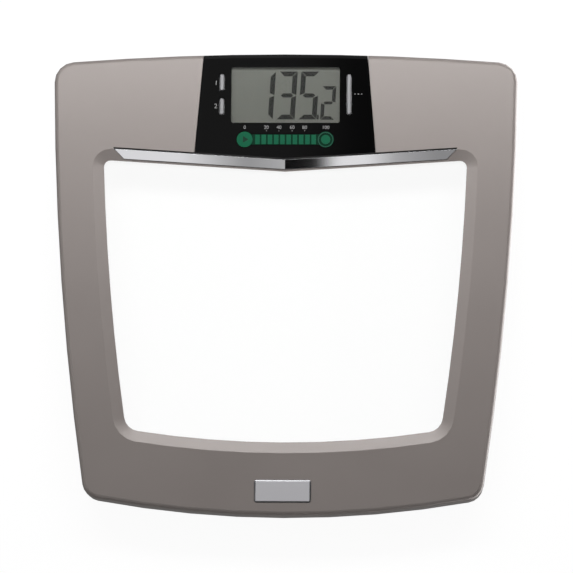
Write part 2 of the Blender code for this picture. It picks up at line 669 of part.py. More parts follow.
def top_frame():
    """The moulded ring round the window, with a sunk floor that carries the fascia."""
    rings = [at(body_outline(0), SKIRT_BOTTOM)]
    for step in range(ROUNDING_STEPS + 1):
        turn = math.pi / 2 * step / ROUNDING_STEPS
        drawn_in = EDGE_RADIUS * (1 - math.cos(turn))
        height = BODY_TOP - EDGE_RADIUS * (1 - math.sin(turn))
        rings.append(at(body_outline(drawn_in), height))
    slab = BODY_TOP - FRAME_WALL
    rings += [
        at(window_outline(BEVEL_WIDTH), BODY_TOP),
        at(window_outline(0), BODY_TOP - BEVEL_DROP),
        at(window_outline(0), LIP_BOTTOM),
        at(window_outline(POCKET_OUTSET), LIP_BOTTOM),
        at(window_outline(POCKET_OUTSET), GLASS_BOTTOM + SEAT_GAP),
        at(window_outline(POCKET_OUTSET + POCKET_RIB), GLASS_BOTTOM + SEAT_GAP),
        at(window_outline(POCKET_OUTSET + POCKET_RIB), slab),
        at(body_outline(FRAME_WALL), slab),
        at(body_outline(FRAME_WALL), SKIRT_BOTTOM),
    ]
    frame = as_object("top_frame", from_rings(rings, closed=True))

    low, high = SKIRT_BOTTOM - OVERRUN, BODY_TOP + OVERRUN
    recess_skirt = TRAY_WALL_TOP + RUN_GAP
    recess = as_object("recess", body_solid(FRAME_WALL / 2, recess_skirt))
    wide = display_outline(RECESS_MARGIN, POCKET_OUTSET + POCKET_RIB / 2)
    boolean(recess, "INTERSECT", prism(wide, low, high))
    cut(recess, body_solid(FRAME_WALL + SEAT_GAP + RECESS_WALL, low))
    join(frame, shape_of(recess))

    fascia_space = as_object(
        "space", prism(display_outline(SEAT_GAP, FASCIA_OUTSET - SEAT_GAP), low, high)
    )
    cut(fascia_space, body_solid(FRAME_WALL + SEAT_GAP, low - OVERRUN))
    cut(frame, shape_of(fascia_space))

    post_foot = TRAY_FLOOR_TOP + SEAT_GAP
    posts = [
        rod(x, y, SCREW_POST_RADIUS, post_foot, slab + FRAME_WALL / 2) for x, y in SCREW_PLACES
    ]
    stakes = [stake(x, y) for x, y in STAKES]
    join(frame, together(*posts, *stakes))

    front_y = GOAL_Y - GOAL_DISC_RADIUS - GOAL_FLANGE - RUN_GAP
    back_y = LCD_Y + LCD_PANEL_DEPTH / 2 + SEAT_GAP + CARRIER_WALL + RUN_GAP
    aperture = rounded(
        0, (front_y + back_y) / 2, 2 * APERTURE_HALF_WIDTH, back_y - front_y, APERTURE_CORNER
    )
    bore = SCREW_SHANK_RADIUS + SEAT_GAP
    bore_top = SCREW_HEAD_TOP + SCREW_LENGTH + SEAT_GAP
    bores = [rod(x, y, bore, post_foot - OVERRUN, bore_top) for x, y in SCREW_PLACES]
    badge_floor = BODY_TOP + BADGE_PROUD - BADGE_THICKNESS - SEAT_GAP
    pocket = rounded(0, BADGE_Y, BADGE_WIDTH, BADGE_DEPTH, BADGE_CORNER, SEAT_GAP)
    cut(
        frame,
        prism(aperture, RECESS_BOTTOM - OVERRUN, high),
        prism(pocket, badge_floor, high),
        *bores,
    )
    cut(frame, trim_bar(SEAT_GAP, OVERRUN))
    return paint(frame, (0.36, 0.325, 0.305), 0.42, 0.35)


def stake(x, y):
    """A post under the recess with a pin through the board, melted over into a head below it."""
    head_top = BOARD_BOTTOM - SEAT_GAP
    profile = [
        (STAKE_HEAD_RADIUS - SOFT_EDGE, head_top - STAKE_HEAD_HEIGHT),
        (STAKE_HEAD_RADIUS, head_top - STAKE_HEAD_HEIGHT + SOFT_EDGE),
        (STAKE_HEAD_RADIUS, head_top),
        (STAKE_PIN_RADIUS, head_top),
        (STAKE_PIN_RADIUS, BOARD_TOP + SEAT_GAP),
        (STAKE_POST_RADIUS, BOARD_TOP + SEAT_GAP),
        (STAKE_POST_RADIUS, RECESS_BOTTOM + RECESS_WALL / 2),
    ]
    return turned(profile, x, y, POST_SIDES)


def shape_of(obj):
    """Takes the shape out of a helper object and removes the helper."""
    shape = bmesh.new()
    shape.from_mesh(obj.data)
    bpy.data.objects.remove(obj, do_unlink=True)
    return shape


def trim_bar(grow, rise):
    """The V of the chrome trim along the bevel, or the groove for it: grown all round, taller by rise."""
    front, back = TRIM_SETBACK - grow, TRIM_BACK_OUTSET + grow
    rings = []
    for side in (-1, 0, 1):
        ring = []
        corners = (
            (front, TRIM_FRONT_HALF, -TRIM_BURIED - grow),
            (back, TRIM_BACK_HALF, -TRIM_BURIED - grow),
            (back, TRIM_BACK_HALF, TRIM_PROUD + rise),
            (front, TRIM_FRONT_HALF, TRIM_PROUD + rise),
        )
        for outset, half, lift in corners:
            x = side * (half + grow)
            bevel = BODY_TOP - BEVEL_DROP * (1 - outset / BEVEL_WIDTH)
            ring.append((x, window_back_y(x, outset), bevel + lift))
        rings.append(ring)
    return from_rings(rings)


def chrome_trim():
    trim = as_object("chrome_trim", trim_bar(0, 0))
    return paint(trim, (0.80, 0.80, 0.82), 0.08, 1.0)


def badge_plate():
    """A bare metal plate with a chamfered edge."""
    bottom, top = BODY_TOP + BADGE_PROUD - BADGE_THICKNESS, BODY_TOP + BADGE_PROUD
    plain = rounded(0, BADGE_Y, BADGE_WIDTH, BADGE_DEPTH, BADGE_CORNER)
    small = rounded(0, BADGE_Y, BADGE_WIDTH, BADGE_DEPTH, BADGE_CORNER, -SOFT_EDGE)
    rings = [at(plain, bottom), at(plain, top - SOFT_EDGE), at(small, top)]
    return paint(as_object("badge_plate", from_rings(rings)), (0.40, 0.39, 0.40), 0.35, 0.8)


def display_fascia():
    """The gloss skin over the display, wrapped over the back edge of the body."""
    low, high = SKIRT_BOTTOM - OVERRUN, BODY_TOP + OVERRUN
    fascia = as_object("display_fascia", body_solid(0, SKIRT_BOTTOM))
    boolean(fascia, "INTERSECT", prism(display_outline(0, FASCIA_OUTSET), low, high))
    cut(fascia, body_solid(FRAME_WALL, low))
    lcd = rounded(0, LCD_Y, LCD_WIDTH, LCD_DEPTH, LCD_CORNER, SEAT_GAP)
    slots = [
        rounded(x, y, KEY_WIDTH, length, KEY_WIDTH * ROUND_END_SHARE, RUN_GAP)
        for x, y, length in KEYS.values()
    ]
    holes = [lcd, goal_outline(SEAT_GAP), *slots]
    cut(fascia, *[prism(hole, FASCIA_UNDERSIDE - OVERRUN, high) for hole in holes])
    return paint(fascia, (0.006, 0.006, 0.007), 0.08)


def lcd_cover():
    top = BODY_TOP - COVER_SINK
    outline = rounded(0, LCD_Y, LCD_WIDTH, LCD_DEPTH, LCD_CORNER)
    cover = as_object("lcd_cover", prism(outline, top - LCD_COVER_THICKNESS, top))
    return paint(cover, (0.9, 0.92, 0.9), 0.03, alpha=0.35, transmission=0.9)


def lcd_panel():
    outline = rounded(0, LCD_Y, LCD_PANEL_WIDTH, LCD_PANEL_DEPTH, LCD_CORNER)
    panel = as_object("lcd_panel", prism(outline, LCD_BOTTOM, LCD_TOP))
    return paint(panel, (0.12, 0.13, 0.11), 0.3)


def lcd_carrier():
    """The moulding that holds the panel over the board: a shelf under its rim and a wall round it."""
    def outline(grow):
        width, depth = LCD_PANEL_WIDTH + 2 * grow, LCD_PANEL_DEPTH + 2 * grow
        return rounded(0, LCD_Y, width, depth, LCD_CORNER)

    wall_top = CARRIER_TOP + CARRIER_RIM
    rings = [
        at(outline(SEAT_GAP + CARRIER_WALL), CARRIER_BOTTOM),
        at(outline(SEAT_GAP + CARRIER_WALL), wall_top),
        at(outline(SEAT_GAP), wall_top),
        at(outline(SEAT_GAP), CARRIER_TOP),
        at(outline(-CARRIER_SHELF), CARRIER_TOP),
        at(outline(-CARRIER_SHELF), CARRIER_BOTTOM),
    ]
    return paint(as_object("lcd_carrier", from_rings(rings, closed=True)), (0.75, 0.75, 0.73), 0.5)


def zebra_strips():
    """Two rubber strips that connect the panel's edges to the board."""
    reach = LCD_PANEL_DEPTH / 2 - CARRIER_SHELF - SEAT_GAP - ZEBRA_WIDTH / 2
    z = (CARRIER_TOP + CARRIER_BOTTOM) / 2
    for name, side in (("front", -1), ("back", 1)):
        strip = block((0, LCD_Y + side * reach, z), (ZEBRA_LENGTH, ZEBRA_WIDTH, CARRIER_BASE))
        paint(as_object("zebra_strip_" + name, strip), (0.03, 0.03, 0.03), 0.7)


def main_board():
    """The circuit board, with the three lamps of the goal bar soldered on."""
    outline = rounded(0, BOARD_Y, 2 * BOARD_HALF_WIDTH, BOARD_DEPTH, LCD_CORNER)
    board = as_object("main_board", prism(outline, BOARD_BOTTOM, BOARD_TOP))
    lamp_height = LED_HEIGHT + BOARD_THICKNESS / 2
    lamp_z = BOARD_TOP + LED_HEIGHT - lamp_height / 2
    size = (LED_WIDTH, LED_DEPTH, lamp_height)
    join(board, together(*[block((x, GOAL_Y, lamp_z), size) for x in LED_XS]))
    hole = STAKE_PIN_RADIUS + SEAT_GAP
    low, high = BOARD_BOTTOM - OVERRUN, BOARD_TOP + OVERRUN
    cut(board, *[rod(x, y, hole, low, high) for x, y in STAKES])
    return paint(board, (0.02, 0.16, 0.07), 0.45)


def controller_chip():
    z = BOARD_BOTTOM - SEAT_GAP - CHIP_HEIGHT / 2
    centre = (0, BODY_BACK_Y - CHIP_TO_BACK, z)
    chip = as_object("controller_chip", block(centre, (CHIP_SIDE, CHIP_SIDE, CHIP_HEIGHT)))
    return paint(chip, (0.02, 0.02, 0.02), 0.4)


def housing_screws():
    """Pan-head screws that point up through the tray into the posts of the frame."""
    profile = [
        (SCREW_HEAD_RADIUS - SOFT_EDGE, SCREW_HEAD_TOP - SCREW_HEAD_HEIGHT),
        (SCREW_HEAD_RADIUS, SCREW_HEAD_TOP - SCREW_HEAD_HEIGHT + SOFT_EDGE),
        (SCREW_HEAD_RADIUS, SCREW_HEAD_TOP),
        (SCREW_SHANK_RADIUS, SCREW_HEAD_TOP),
        (SCREW_SHANK_RADIUS, SCREW_HEAD_TOP + SCREW_LENGTH - SOFT_EDGE),
        (SCREW_SHANK_RADIUS - SOFT_EDGE, SCREW_HEAD_TOP + SCREW_LENGTH),
    ]
    for number, (x, y) in enumerate(SCREW_PLACES):
        screw = as_object("housing_screw_%d" % (number + 1), turned(profile, x, y, POST_SIDES))
        paint(screw, (0.55, 0.55, 0.57), 0.3, 1.0)


def goal_light_guide():
    """The clear green moulding in the fascia: a flange under it and three legs down to the lamps."""
    flange_top = FASCIA_UNDERSIDE - SEAT_GAP
    flange_bottom = flange_top - GOAL_FLANGE_THICKNESS
    top = BODY_TOP - COVER_SINK
    rings = [
        at(goal_outline(GOAL_FLANGE), flange_bottom),
        at(goal_outline(GOAL_FLANGE), flange_top),
        at(goal_outline(0), flange_top),
        at(goal_outline(0), top),
    ]
    guide = as_object("goal_light_guide", from_rings(rings))
    leg_bottom = BOARD_TOP + LED_HEIGHT + SEAT_GAP
    leg_top = flange_bottom + GOAL_FLANGE_THICKNESS / 2
    legs = [rod(x, GOAL_Y, GOAL_LEG_RADIUS, leg_bottom, leg_top) for x in LED_XS]
    join(guide, together(*legs))
    groove_z = top - GOAL_GROOVE / 2
    size = (GOAL_GROOVE, GOAL_STRIP_HEIGHT, GOAL_GROOVE + OVERRUN)
    z = groove_z + OVERRUN / 2
    reach = GOAL_HALF_SPAN - GOAL_DISC_RADIUS
    pitch = 2 * reach / GOAL_SEGMENTS
    xs = [-reach + pitch * step for step in range(GOAL_SEGMENTS + 1)]
    grooves = [block((x, GOAL_Y, z), size) for x in xs]
    inner, outer = GOAL_RING_RADIUS, GOAL_RING_RADIUS + GOAL_GROOVE
    turns = [2 * math.pi * side / ROUND_SIDES for side in range(ROUND_SIDES)]
    rings = []
    for radius, height in (
        (outer, top - GOAL_GROOVE),
        (outer, top + OVERRUN),
        (inner, top + OVERRUN),
        (inner, top - GOAL_GROOVE),
    ):
        rings.append(
            [
                (GOAL_HALF_SPAN + radius * math.cos(t), GOAL_Y + radius * math.sin(t), height)
                for t in turns
            ]
        )
    cut(guide, *grooves, from_rings(rings, closed=True))
    return paint(guide, (0.006, 0.13, 0.065), 0.15, transmission=0.3)


def keys():
    """Each key stands proud of the fascia, is held under it by a flange and presses a switch."""
    flange_top = FASCIA_UNDERSIDE - SEAT_GAP
    flange_bottom = flange_top - KEY_FLANGE_THICKNESS
    stem_bottom = flange_bottom - KEY_STEM_HEIGHT
    plunger_top = stem_bottom - SEAT_GAP
    switch_bottom = BOARD_TOP + SEAT_GAP
    for name, (x, y, length) in KEYS.items():
        corner = KEY_WIDTH * ROUND_END_SHARE
        cap = rounded(x, y, KEY_WIDTH, length, corner)
        top = rounded(x, y, KEY_WIDTH, length, corner, -SOFT_EDGE)
        flange = rounded(x, y, KEY_WIDTH, length, corner, KEY_FLANGE)
        rings = [
            at(flange, flange_bottom),
            at(flange, flange_top),
            at(cap, flange_top),
            at(cap, BODY_TOP + KEY_PROUD - SOFT_EDGE),
            at(top, BODY_TOP + KEY_PROUD),
        ]
        key = as_object(name, from_rings(rings))
        stem_top = flange_bottom + KEY_FLANGE_THICKNESS / 2
        join(key, rod(x, y, KEY_STEM_RADIUS, stem_bottom, stem_top))
        set_origin(key, (x, y, BODY_TOP))
        paint(key, (0.46, 0.46, 0.46), 0.35, 0.5)

        switch_centre = (x, y, switch_bottom + SWITCH_HEIGHT / 2)
        switch_size = (SWITCH_SIDE, SWITCH_SIDE, SWITCH_HEIGHT)
        switch = as_object(name + "_switch", block(switch_centre, switch_size))
        switch_top = switch_bottom + SWITCH_HEIGHT
        well = switch_top - PLUNGER_DEPTH - KEY_TRAVEL - SEAT_GAP
        cut(switch, rod(x, y, PLUNGER_RADIUS + SEAT_GAP, well, switch_top + OVERRUN))
        paint(switch, (0.6, 0.6, 0.62), 0.35, 0.8)

        plunger = as_object(
            name + "_plunger", rod(x, y, PLUNGER_RADIUS, switch_top - PLUNGER_DEPTH, plunger_top)
        )
        set_origin(plunger, (x, y, BODY_TOP))
        ride(plunger, key)
        paint(plunger, (0.05, 0.05, 0.05), 0.5)


def glass_platform():
    """Clear toughened glass with a ground edge, under the lip of the frame all round."""
    rings = [
        at(window_outline(GLASS_OUTSET - SOFT_EDGE), GLASS_BOTTOM),
        at(window_outline(GLASS_OUTSET), GLASS_BOTTOM + SOFT_EDGE),
        at(window_outline(GLASS_OUTSET), GLASS_TOP - SOFT_EDGE),
        at(window_outline(GLASS_OUTSET - SOFT_EDGE), GLASS_TOP),
    ]
    glass = as_object("glass_platform", from_rings(rings))
    return paint(glass, (0.93, 0.97, 0.96), 0.02, alpha=0.3, transmission=1.0)


def glass_gasket():
    """A thin soft ring between the glass and the ledge of the tray."""
    inner = LEDGE_SETBACK + (GLASS_BEARING - GASKET_WIDTH) / 2
    outer, bottom = inner + GASKET_WIDTH, GASKET_TOP - GASKET_THICKNESS
    rings = [
        at(window_outline(outer), bottom),
        at(window_outline(outer), GASKET_TOP),
        at(window_outline(inner), GASKET_TOP),
        at(window_outline(inner), bottom),
    ]
    return paint(as_object("glass_gasket", from_rings(rings, closed=True)), (0.7, 0.7, 0.7), 0.8)


def base_tray():
    """The channel under the frame: foot wells, the battery bay, and a ledge for the glass."""
    rings = [
        at(body_outline(TRAY_INSET + TRAY_CHAMFER), TRAY_BOTTOM),
        at(body_outline(TRAY_INSET), TRAY_BOTTOM + TRAY_CHAMFER),
        at(body_outline(TRAY_INSET), TRAY_WALL_TOP),
        at(body_outline(TRAY_INSET + TRAY_WALL), TRAY_WALL_TOP),
        at(body_outline(TRAY_INSET + TRAY_WALL), TRAY_FLOOR_TOP),
        at(window_outline(LEDGE_SETBACK + LEDGE_WALL), TRAY_FLOOR_TOP),
        at(window_outline(LEDGE_SETBACK + LEDGE_WALL), LEDGE_TOP),
        at(window_outline(LEDGE_SETBACK), LEDGE_TOP),
        at(window_outline(LEDGE_SETBACK), TRAY_BOTTOM),
    ]
    tray = as_object("base_tray", from_rings(rings, closed=True))
    root = TRAY_BOTTOM + TRAY_FLOOR / 2
    below = TRAY_BOTTOM - OVERRUN
    wells = [
        rod(x, y, WELL_RADIUS + WELL_WALL, root, WELL_CEILING + WELL_ROOF, ROUND_SIDES)
        for x, y in FEET.values()
    ]
    bay_wall = (
        2 * (BAY_HALF_WIDTH + BAY_WALL),
        BAY_BACK_Y - BAY_FRONT_Y + 2 * BAY_WALL,
        BAY_ROOF - root,
    )
    join(tray, together(*wells, block((BAY_X, BAY_Y, (BAY_ROOF + root) / 2), bay_wall)))

    well_cuts = [rod(x, y, WELL_RADIUS, below, WELL_CEILING, ROUND_SIDES) for x, y in FEET.values()]
    bay_size = (2 * BAY_HALF_WIDTH, BAY_BACK_Y - BAY_FRONT_Y, BAY_CEILING - below)
    bay_cut = block((BAY_X, BAY_Y, (BAY_CEILING + below) / 2), bay_size)
    heads = SCREW_HEAD_RADIUS + SEAT_GAP
    shank = SCREW_SHANK_RADIUS + SEAT_GAP
    ceiling = TRAY_BOTTOM + SCREW_HEAD_SINK
    sinks = [
        turned(
            [(heads, below), (heads, ceiling), (shank, ceiling), (shank, TRAY_FLOOR_TOP + OVERRUN)],
            x,
            y,
            POST_SIDES,
        )
        for x, y in SCREW_PLACES
    ]
    slot_size = (
        UNIT_KNOB_LENGTH + UNIT_TRAVEL + 2 * RUN_GAP,
        UNIT_KNOB_DEPTH + 2 * RUN_GAP,
        TRAY_FLOOR + 2 * OVERRUN,
    )
    slot = block((UNIT_X, UNIT_Y, TRAY_BOTTOM + TRAY_FLOOR / 2), slot_size)
    cut(tray, *well_cuts, bay_cut, *sinks, slot)

    cut(tray, prism(door_outline(RUN_GAP), below, TRAY_FLOOR_TOP))
    thumb_y = DOOR_FRONT_Y - DOOR_FINGER_REACH
    thumb = rod(BAY_X, thumb_y, THUMB_RADIUS, below, TRAY_BOTTOM + THUMB_DEPTH)
    tab_slots = []
    for x in DOOR_TAB_XS:
        reach = DOOR_TAB_REACH + DOOR_LAP + 2 * RUN_GAP
        size = (DOOR_TAB_WIDTH + 2 * RUN_GAP, reach + RUN_GAP, DOOR_SLOT_HEIGHT + RUN_GAP)
        y = BAY_BACK_Y + reach / 2 - RUN_GAP / 2
        z = TRAY_FLOOR_TOP + DOOR_SLOT_HEIGHT / 2 - RUN_GAP / 2
        tab_slots.append(block((x, y, z), size))
    gates = []
    for name, (x, y) in FEET.items():
        toward = -1 if name.startswith("back") else 1
        gate_x = x + math.copysign(GATE_OFFSET, x)
        size = (LEAD_GATE_WIDTH, WELL_WALL + 2 * OVERRUN, LEAD_GATE_HEIGHT)
        gates.append(block((gate_x, y + toward * GATE_REACH, LEAD_GATE_Z), size))
    roof_gate = (
        2 * (BATTERY_LEAD_RADIUS + RUN_GAP),
        2 * (BATTERY_LEAD_RADIUS + RUN_GAP) + BATTERY_LEAD_BEND,
        BAY_WALL + OVERRUN,
    )
    roof_gate_y = BATTERY_GATE_Y - BATTERY_LEAD_BEND / 2
    for x in (BATTERY_XS[0], BATTERY_XS[-1]):
        gates.append(block((x, roof_gate_y, (BAY_CEILING + BAY_ROOF) / 2), roof_gate))
    cut(tray, thumb, *tab_slots, *gates)

    seats = []
    seat_height = CELL_SEAT_HEIGHT + WELL_ROOF / 2
    for x, y in FEET.values():
        for side in (-1, 1):
            seat_x = x + side * (CELL_WIDTH - CELL_SEAT_WIDTH) / 2
            size = (CELL_SEAT_WIDTH, CELL_DEPTH - 2 * CELL_CORNER, seat_height)
            seats.append(block((seat_x, y, CELL_SEAT_BOTTOM + seat_height / 2), size))
    join(tray, together(*seats))
    return paint(tray, (0.55, 0.55, 0.55), 0.55)


def door_outline(grow):
    """The battery door from above: a rectangle with a finger tab on its front edge."""
    half, tab = BAY_HALF_WIDTH + DOOR_LAP + grow, DOOR_FINGER_WIDTH / 2 + grow
    front, back = DOOR_FRONT_Y - grow, DOOR_BACK_Y + grow
    tip = front - DOOR_FINGER_REACH
    right = [(tab, tip), (tab, front), (half, front), (half, back)]
    return [(BAY_X + x, y) for x, y in right + [(-x, y) for x, y in reversed(right)]]


def battery_door():
    """The door drops into the floor of the tray and hooks over it at the back with two tabs."""
    door = as_object("battery_door", prism(door_outline(0), TRAY_BOTTOM, DOOR_TOP))
    tab_bottom = TRAY_FLOOR_TOP + DOOR_TAB_LIFT - SEAT_GAP
    tab_top = tab_bottom + DOOR_TAB_THICKNESS
    inner = BAY_BACK_Y - SEAT_GAP
    for x in DOOR_TAB_XS:
        low = DOOR_TOP - DOOR_THICKNESS / 2
        root_y = inner - DOOR_TAB_ROOT / 2
        root = (DOOR_TAB_WIDTH, DOOR_TAB_ROOT, tab_top - low)
        length = DOOR_TAB_ROOT + SEAT_GAP + DOOR_LAP + DOOR_TAB_REACH
        hook_y = DOOR_BACK_Y + DOOR_TAB_REACH - length / 2
        hook = (DOOR_TAB_WIDTH - SEAT_GAP, length, DOOR_TAB_THICKNESS)
        join(door, block((x, root_y, (tab_top + low) / 2), root))
        join(door, block((x, hook_y + SEAT_GAP, tab_top - DOOR_TAB_THICKNESS / 2), hook))
    set_origin(door, (BAY_X, DOOR_BACK_Y, TRAY_BOTTOM))
    return paint(door, (0.55, 0.55, 0.55), 0.5)


def battery(number):
    """A cell that lies along Y, every second one turned round."""
    x, turned_round = BATTERY_XS[number], number % 2
    shoulder = BATTERY_LENGTH - BATTERY_NUB_HEIGHT
    profile = [
        (BATTERY_RADIUS - SOFT_EDGE, 0),
        (BATTERY_RADIUS, SOFT_EDGE),
        (BATTERY_RADIUS, shoulder - SOFT_EDGE),
        (BATTERY_RADIUS - SOFT_EDGE, shoulder),
        (BATTERY_NUB_RADIUS, shoulder),
        (BATTERY_NUB_RADIUS, BATTERY_LENGTH),
    ]
    cell = as_object("battery_%d" % (number + 1), turned(profile, 0, 0, POST_SIDES + 4))
    turn = math.pi / 2 if turned_round else -math.pi / 2
    tip_y = BAY_FRONT_Y + CONTACT_ROOM if turned_round else BAY_BACK_Y - CONTACT_ROOM
    base_y = tip_y + (BATTERY_LENGTH if turned_round else -BATTERY_LENGTH)
    cell.data.transform(Matrix.Translation((x, base_y, BATTERY_Z)) @ Matrix.Rotation(turn, 4, "X"))
    return paint(cell, (0.72, 0.45, 0.12), 0.35, 0.6)


def spring_route(number):
    """The wire of the spring behind a battery: it narrows from its plate to the cell."""
    x = BATTERY_XS[number]
    toward, wall_y = (1, BAY_BACK_Y) if number % 2 else (-1, BAY_FRONT_Y)
    start = wall_y - toward * (SEAT_GAP + CONTACT_THICKNESS)
    count = round(SPRING_TURNS_SHARE * SPRING_POINTS_PER_TURN)
    route = []
    for step in range(count + 1):
        done = step / count
        turn = 2 * math.pi * SPRING_TURNS_SHARE * done
        radius = SPRING_WIDE + (SPRING_NARROW - SPRING_WIDE) * done
        y = start - toward * (SPRING_LENGTH + SEAT_GAP - SPRING_WIRE) * done
        route.append((x + radius * math.cos(turn), y, BATTERY_Z + radius * math.sin(turn)))
    return route


def battery_contacts():
    """Plates that join the cells in a row, each with a spring for every flat end it meets."""
    reach = SEAT_GAP + CONTACT_THICKNESS / 2
    plates = {
        "front_left": (BAY_FRONT_Y + reach, (0, 1), 0),
        "front_right": (BAY_FRONT_Y + reach, (2, 3), 2),
        "back_left": (BAY_BACK_Y - reach, (0, 0), None),
        "back_middle": (BAY_BACK_Y - reach, (1, 2), 1),
        "back_right": (BAY_BACK_Y - reach, (3, 3), 3),
    }
    for name, (y, (first, last), sprung) in plates.items():
        x = (BATTERY_XS[first] + BATTERY_XS[last]) / 2
        width = BATTERY_XS[last] - BATTERY_XS[first] + CONTACT_SIDE
        size = (width, CONTACT_THICKNESS, CONTACT_SIDE)
        plate = as_object("battery_contact_" + name, block((x, y, BATTERY_Z), size))
        if sprung is not None:
            wire = tube("spring", [spring_route(sprung)], SPRING_WIRE, 1)
            graph = bpy.context.evaluated_depsgraph_get()
            mesh = bpy.data.meshes.new_from_object(wire.evaluated_get(graph))
            bpy.data.objects.remove(wire, do_unlink=True)
            shape = bmesh.new()
            shape.from_mesh(mesh)
            bmesh.ops.remove_doubles(shape, verts=shape.verts, dist=WELD)
            join(plate, shape)
        paint(plate, (0.75, 0.75, 0.75), 0.25, 1.0)
    print("least gap between spring turns:", turn_gap(spring_route(0)))


def turn_gap(route):
    """The least distance between wires of neighbouring turns, wire thickness taken off."""
    skip = SPRING_POINTS_PER_TURN // 2
    apart = [
        math.dist(a, b) for i, a in enumerate(route) for b in route[i + skip :]
    ]
    return min(apart) - 2 * SPRING_WIRE


def unit_switch():
    """A slide switch over a slot in the floor of the tray, worked with a fingernail."""
    plate_bottom = TRAY_FLOOR_TOP + SEAT_GAP
    plate_top = plate_bottom + UNIT_PLATE_THICKNESS
    body_top = plate_bottom + UNIT_BODY_HEIGHT
    size = (UNIT_BODY_LENGTH, UNIT_BODY_DEPTH, UNIT_BODY_HEIGHT)
    body = as_object(
        "unit_switch_body", block((UNIT_X, UNIT_Y, (plate_bottom + body_top) / 2), size)
    )
    channel_height = UNIT_PLATE_THICKNESS + SEAT_GAP + OVERRUN
    channel = (
        UNIT_BODY_LENGTH + OVERRUN,
        UNIT_PLATE_DEPTH + 2 * SEAT_GAP,
        channel_height,
    )
    channel_z = plate_top + SEAT_GAP - channel_height / 2
    cut(body, block((UNIT_X, UNIT_Y, channel_z), channel))
    paint(body, (0.04, 0.04, 0.04), 0.5)

    x = UNIT_X - UNIT_TRAVEL / 2
    knob_bottom = TRAY_BOTTOM + UNIT_KNOB_SINK
    plate_size = (UNIT_PLATE_LENGTH, UNIT_PLATE_DEPTH, UNIT_PLATE_THICKNESS)
    slider = as_object(
        "unit_slider", block((x, UNIT_Y, (plate_bottom + plate_top) / 2), plate_size)
    )
    knob_top = plate_bottom + UNIT_PLATE_THICKNESS / 2
    knob = (UNIT_KNOB_LENGTH, UNIT_KNOB_DEPTH, knob_top - knob_bottom)
    join(slider, block((x, UNIT_Y, (knob_top + knob_bottom) / 2), knob))
    set_origin(slider, (x, UNIT_Y, TRAY_BOTTOM))
    paint(slider, (0.65, 0.65, 0.65), 0.5)


def feet_and_cells():
    """Each foot is a cup with a rubber pad, and its boss presses the tongue of a load cell."""
    pad_radius = FOOT_RADIUS - CUP_WALL
    cup_floor = CUP_BOTTOM + PAD_RECESS + CUP_FLOOR
    recess = CUP_BOTTOM + PAD_RECESS
    for place, (x, y) in FEET.items():
        profile = [
            (pad_radius, recess),
            (pad_radius, CUP_BOTTOM),
            (FOOT_RADIUS, CUP_BOTTOM),
            (FOOT_RADIUS, CUP_TOP),
            (pad_radius, CUP_TOP),
            (pad_radius, cup_floor),
            (CUP_BOSS_RADIUS, cup_floor),
            (CUP_BOSS_RADIUS, CELL_BOTTOM - SEAT_GAP),
        ]
        cup = as_object("foot_cup_" + place, turned(profile, x, y, ROUND_SIDES))
        set_origin(cup, (x, y, TRAY_BOTTOM))
        paint(cup, (0.5, 0.5, 0.5), 0.5)

        radius = pad_radius - SEAT_GAP
        pad_profile = [
            (radius - SOFT_EDGE, 0),
            (radius, SOFT_EDGE),
            (radius, recess - SEAT_GAP),
        ]
        pad = as_object("foot_pad_" + place, turned(pad_profile, x, y, ROUND_SIDES))
        set_origin(pad, (x, y, TRAY_BOTTOM))
        ride(pad, cup)
        paint(pad, (0.06, 0.06, 0.06), 0.8)

        plate = prism(rounded(x, y, CELL_WIDTH, CELL_DEPTH, CELL_CORNER), CELL_BOTTOM, CELL_TOP)
        cell = as_object("load_cell_" + place, plate)
        low, high = CELL_BOTTOM - OVERRUN, CELL_TOP + OVERRUN
        side, end = TONGUE_WIDTH / 2, TONGUE_LENGTH / 2
        slot = [
            (side, -end),
            (side + TONGUE_SLOT, -end),
            (side + TONGUE_SLOT, end + TONGUE_SLOT),
        ]
        inner = [(side, -end), (side, end)]
        outline = slot + [(-a, b) for a, b in reversed(slot)] + [(-a, b) for a, b in inner]
        outline = outline[:-2] + [(-side, end), (side, end)]
        cut(cell, prism([(x + a, y + b) for a, b in outline], low, high))
        paint(cell, (0.5, 0.5, 0.52), 0.3, 1.0)


def cell_leads():
    """Each load cell's lead runs along the floor of the tray, beside the ledge, to the board."""
    floor_z = TRAY_FLOOR_TOP + 2 * SEAT_GAP + LEAD_RADIUS
    for place, (foot_x, foot_y) in FEET.items():
        side = -1 if foot_x < 0 else 1
        x = abs(foot_x) + GATE_OFFSET
        front = place.startswith("front")
        toward = 1 if front else -1
        start_y = foot_y + toward * (CELL_DEPTH / 2 + SEAT_GAP)
        gate_y = foot_y + toward * GATE_REACH
        out_y = gate_y + toward * (WELL_WALL + 2 * LEAD_RADIUS)
        route = [(x, start_y, CELL_BOTTOM), (x, gate_y, LEAD_GATE_Z), (x, out_y, floor_z)]
        outset = FRONT_LEAD_OUTSET if front else BACK_LEAD_OUTSET
        end_x = FRONT_LEAD_END_X if front else BACK_LEAD_END_X
        outline = window_outline(outset)
        half = outline[: len(outline) // 2 + 1]
        along = half[EDGE_STEPS + CORNER_STEPS :] if front else half[-EDGE_STEPS - 1 :]
        route += [(px, py, floor_z) for px, py in along if px > FASCIA_FRONT_HALF]
        end_y = BOARD_FRONT_Y + (1 if front else 2) * LEAD_END_INSET
        end_z = BOARD_BOTTOM - SEAT_GAP
        route += [(end_x + LEAD_END_INSET, end_y, floor_z), (end_x, end_y, floor_z)]
        route.append((end_x, end_y, end_z))
        mirrored = [(side * px, py, pz) for px, py, pz in route]
        lead = tube("load_cell_lead_" + place, [smooth_route(mirrored, LEAD_BEND, 1)], LEAD_RADIUS, 2)
        paint(lead, (0.75, 0.75, 0.72), 0.5)


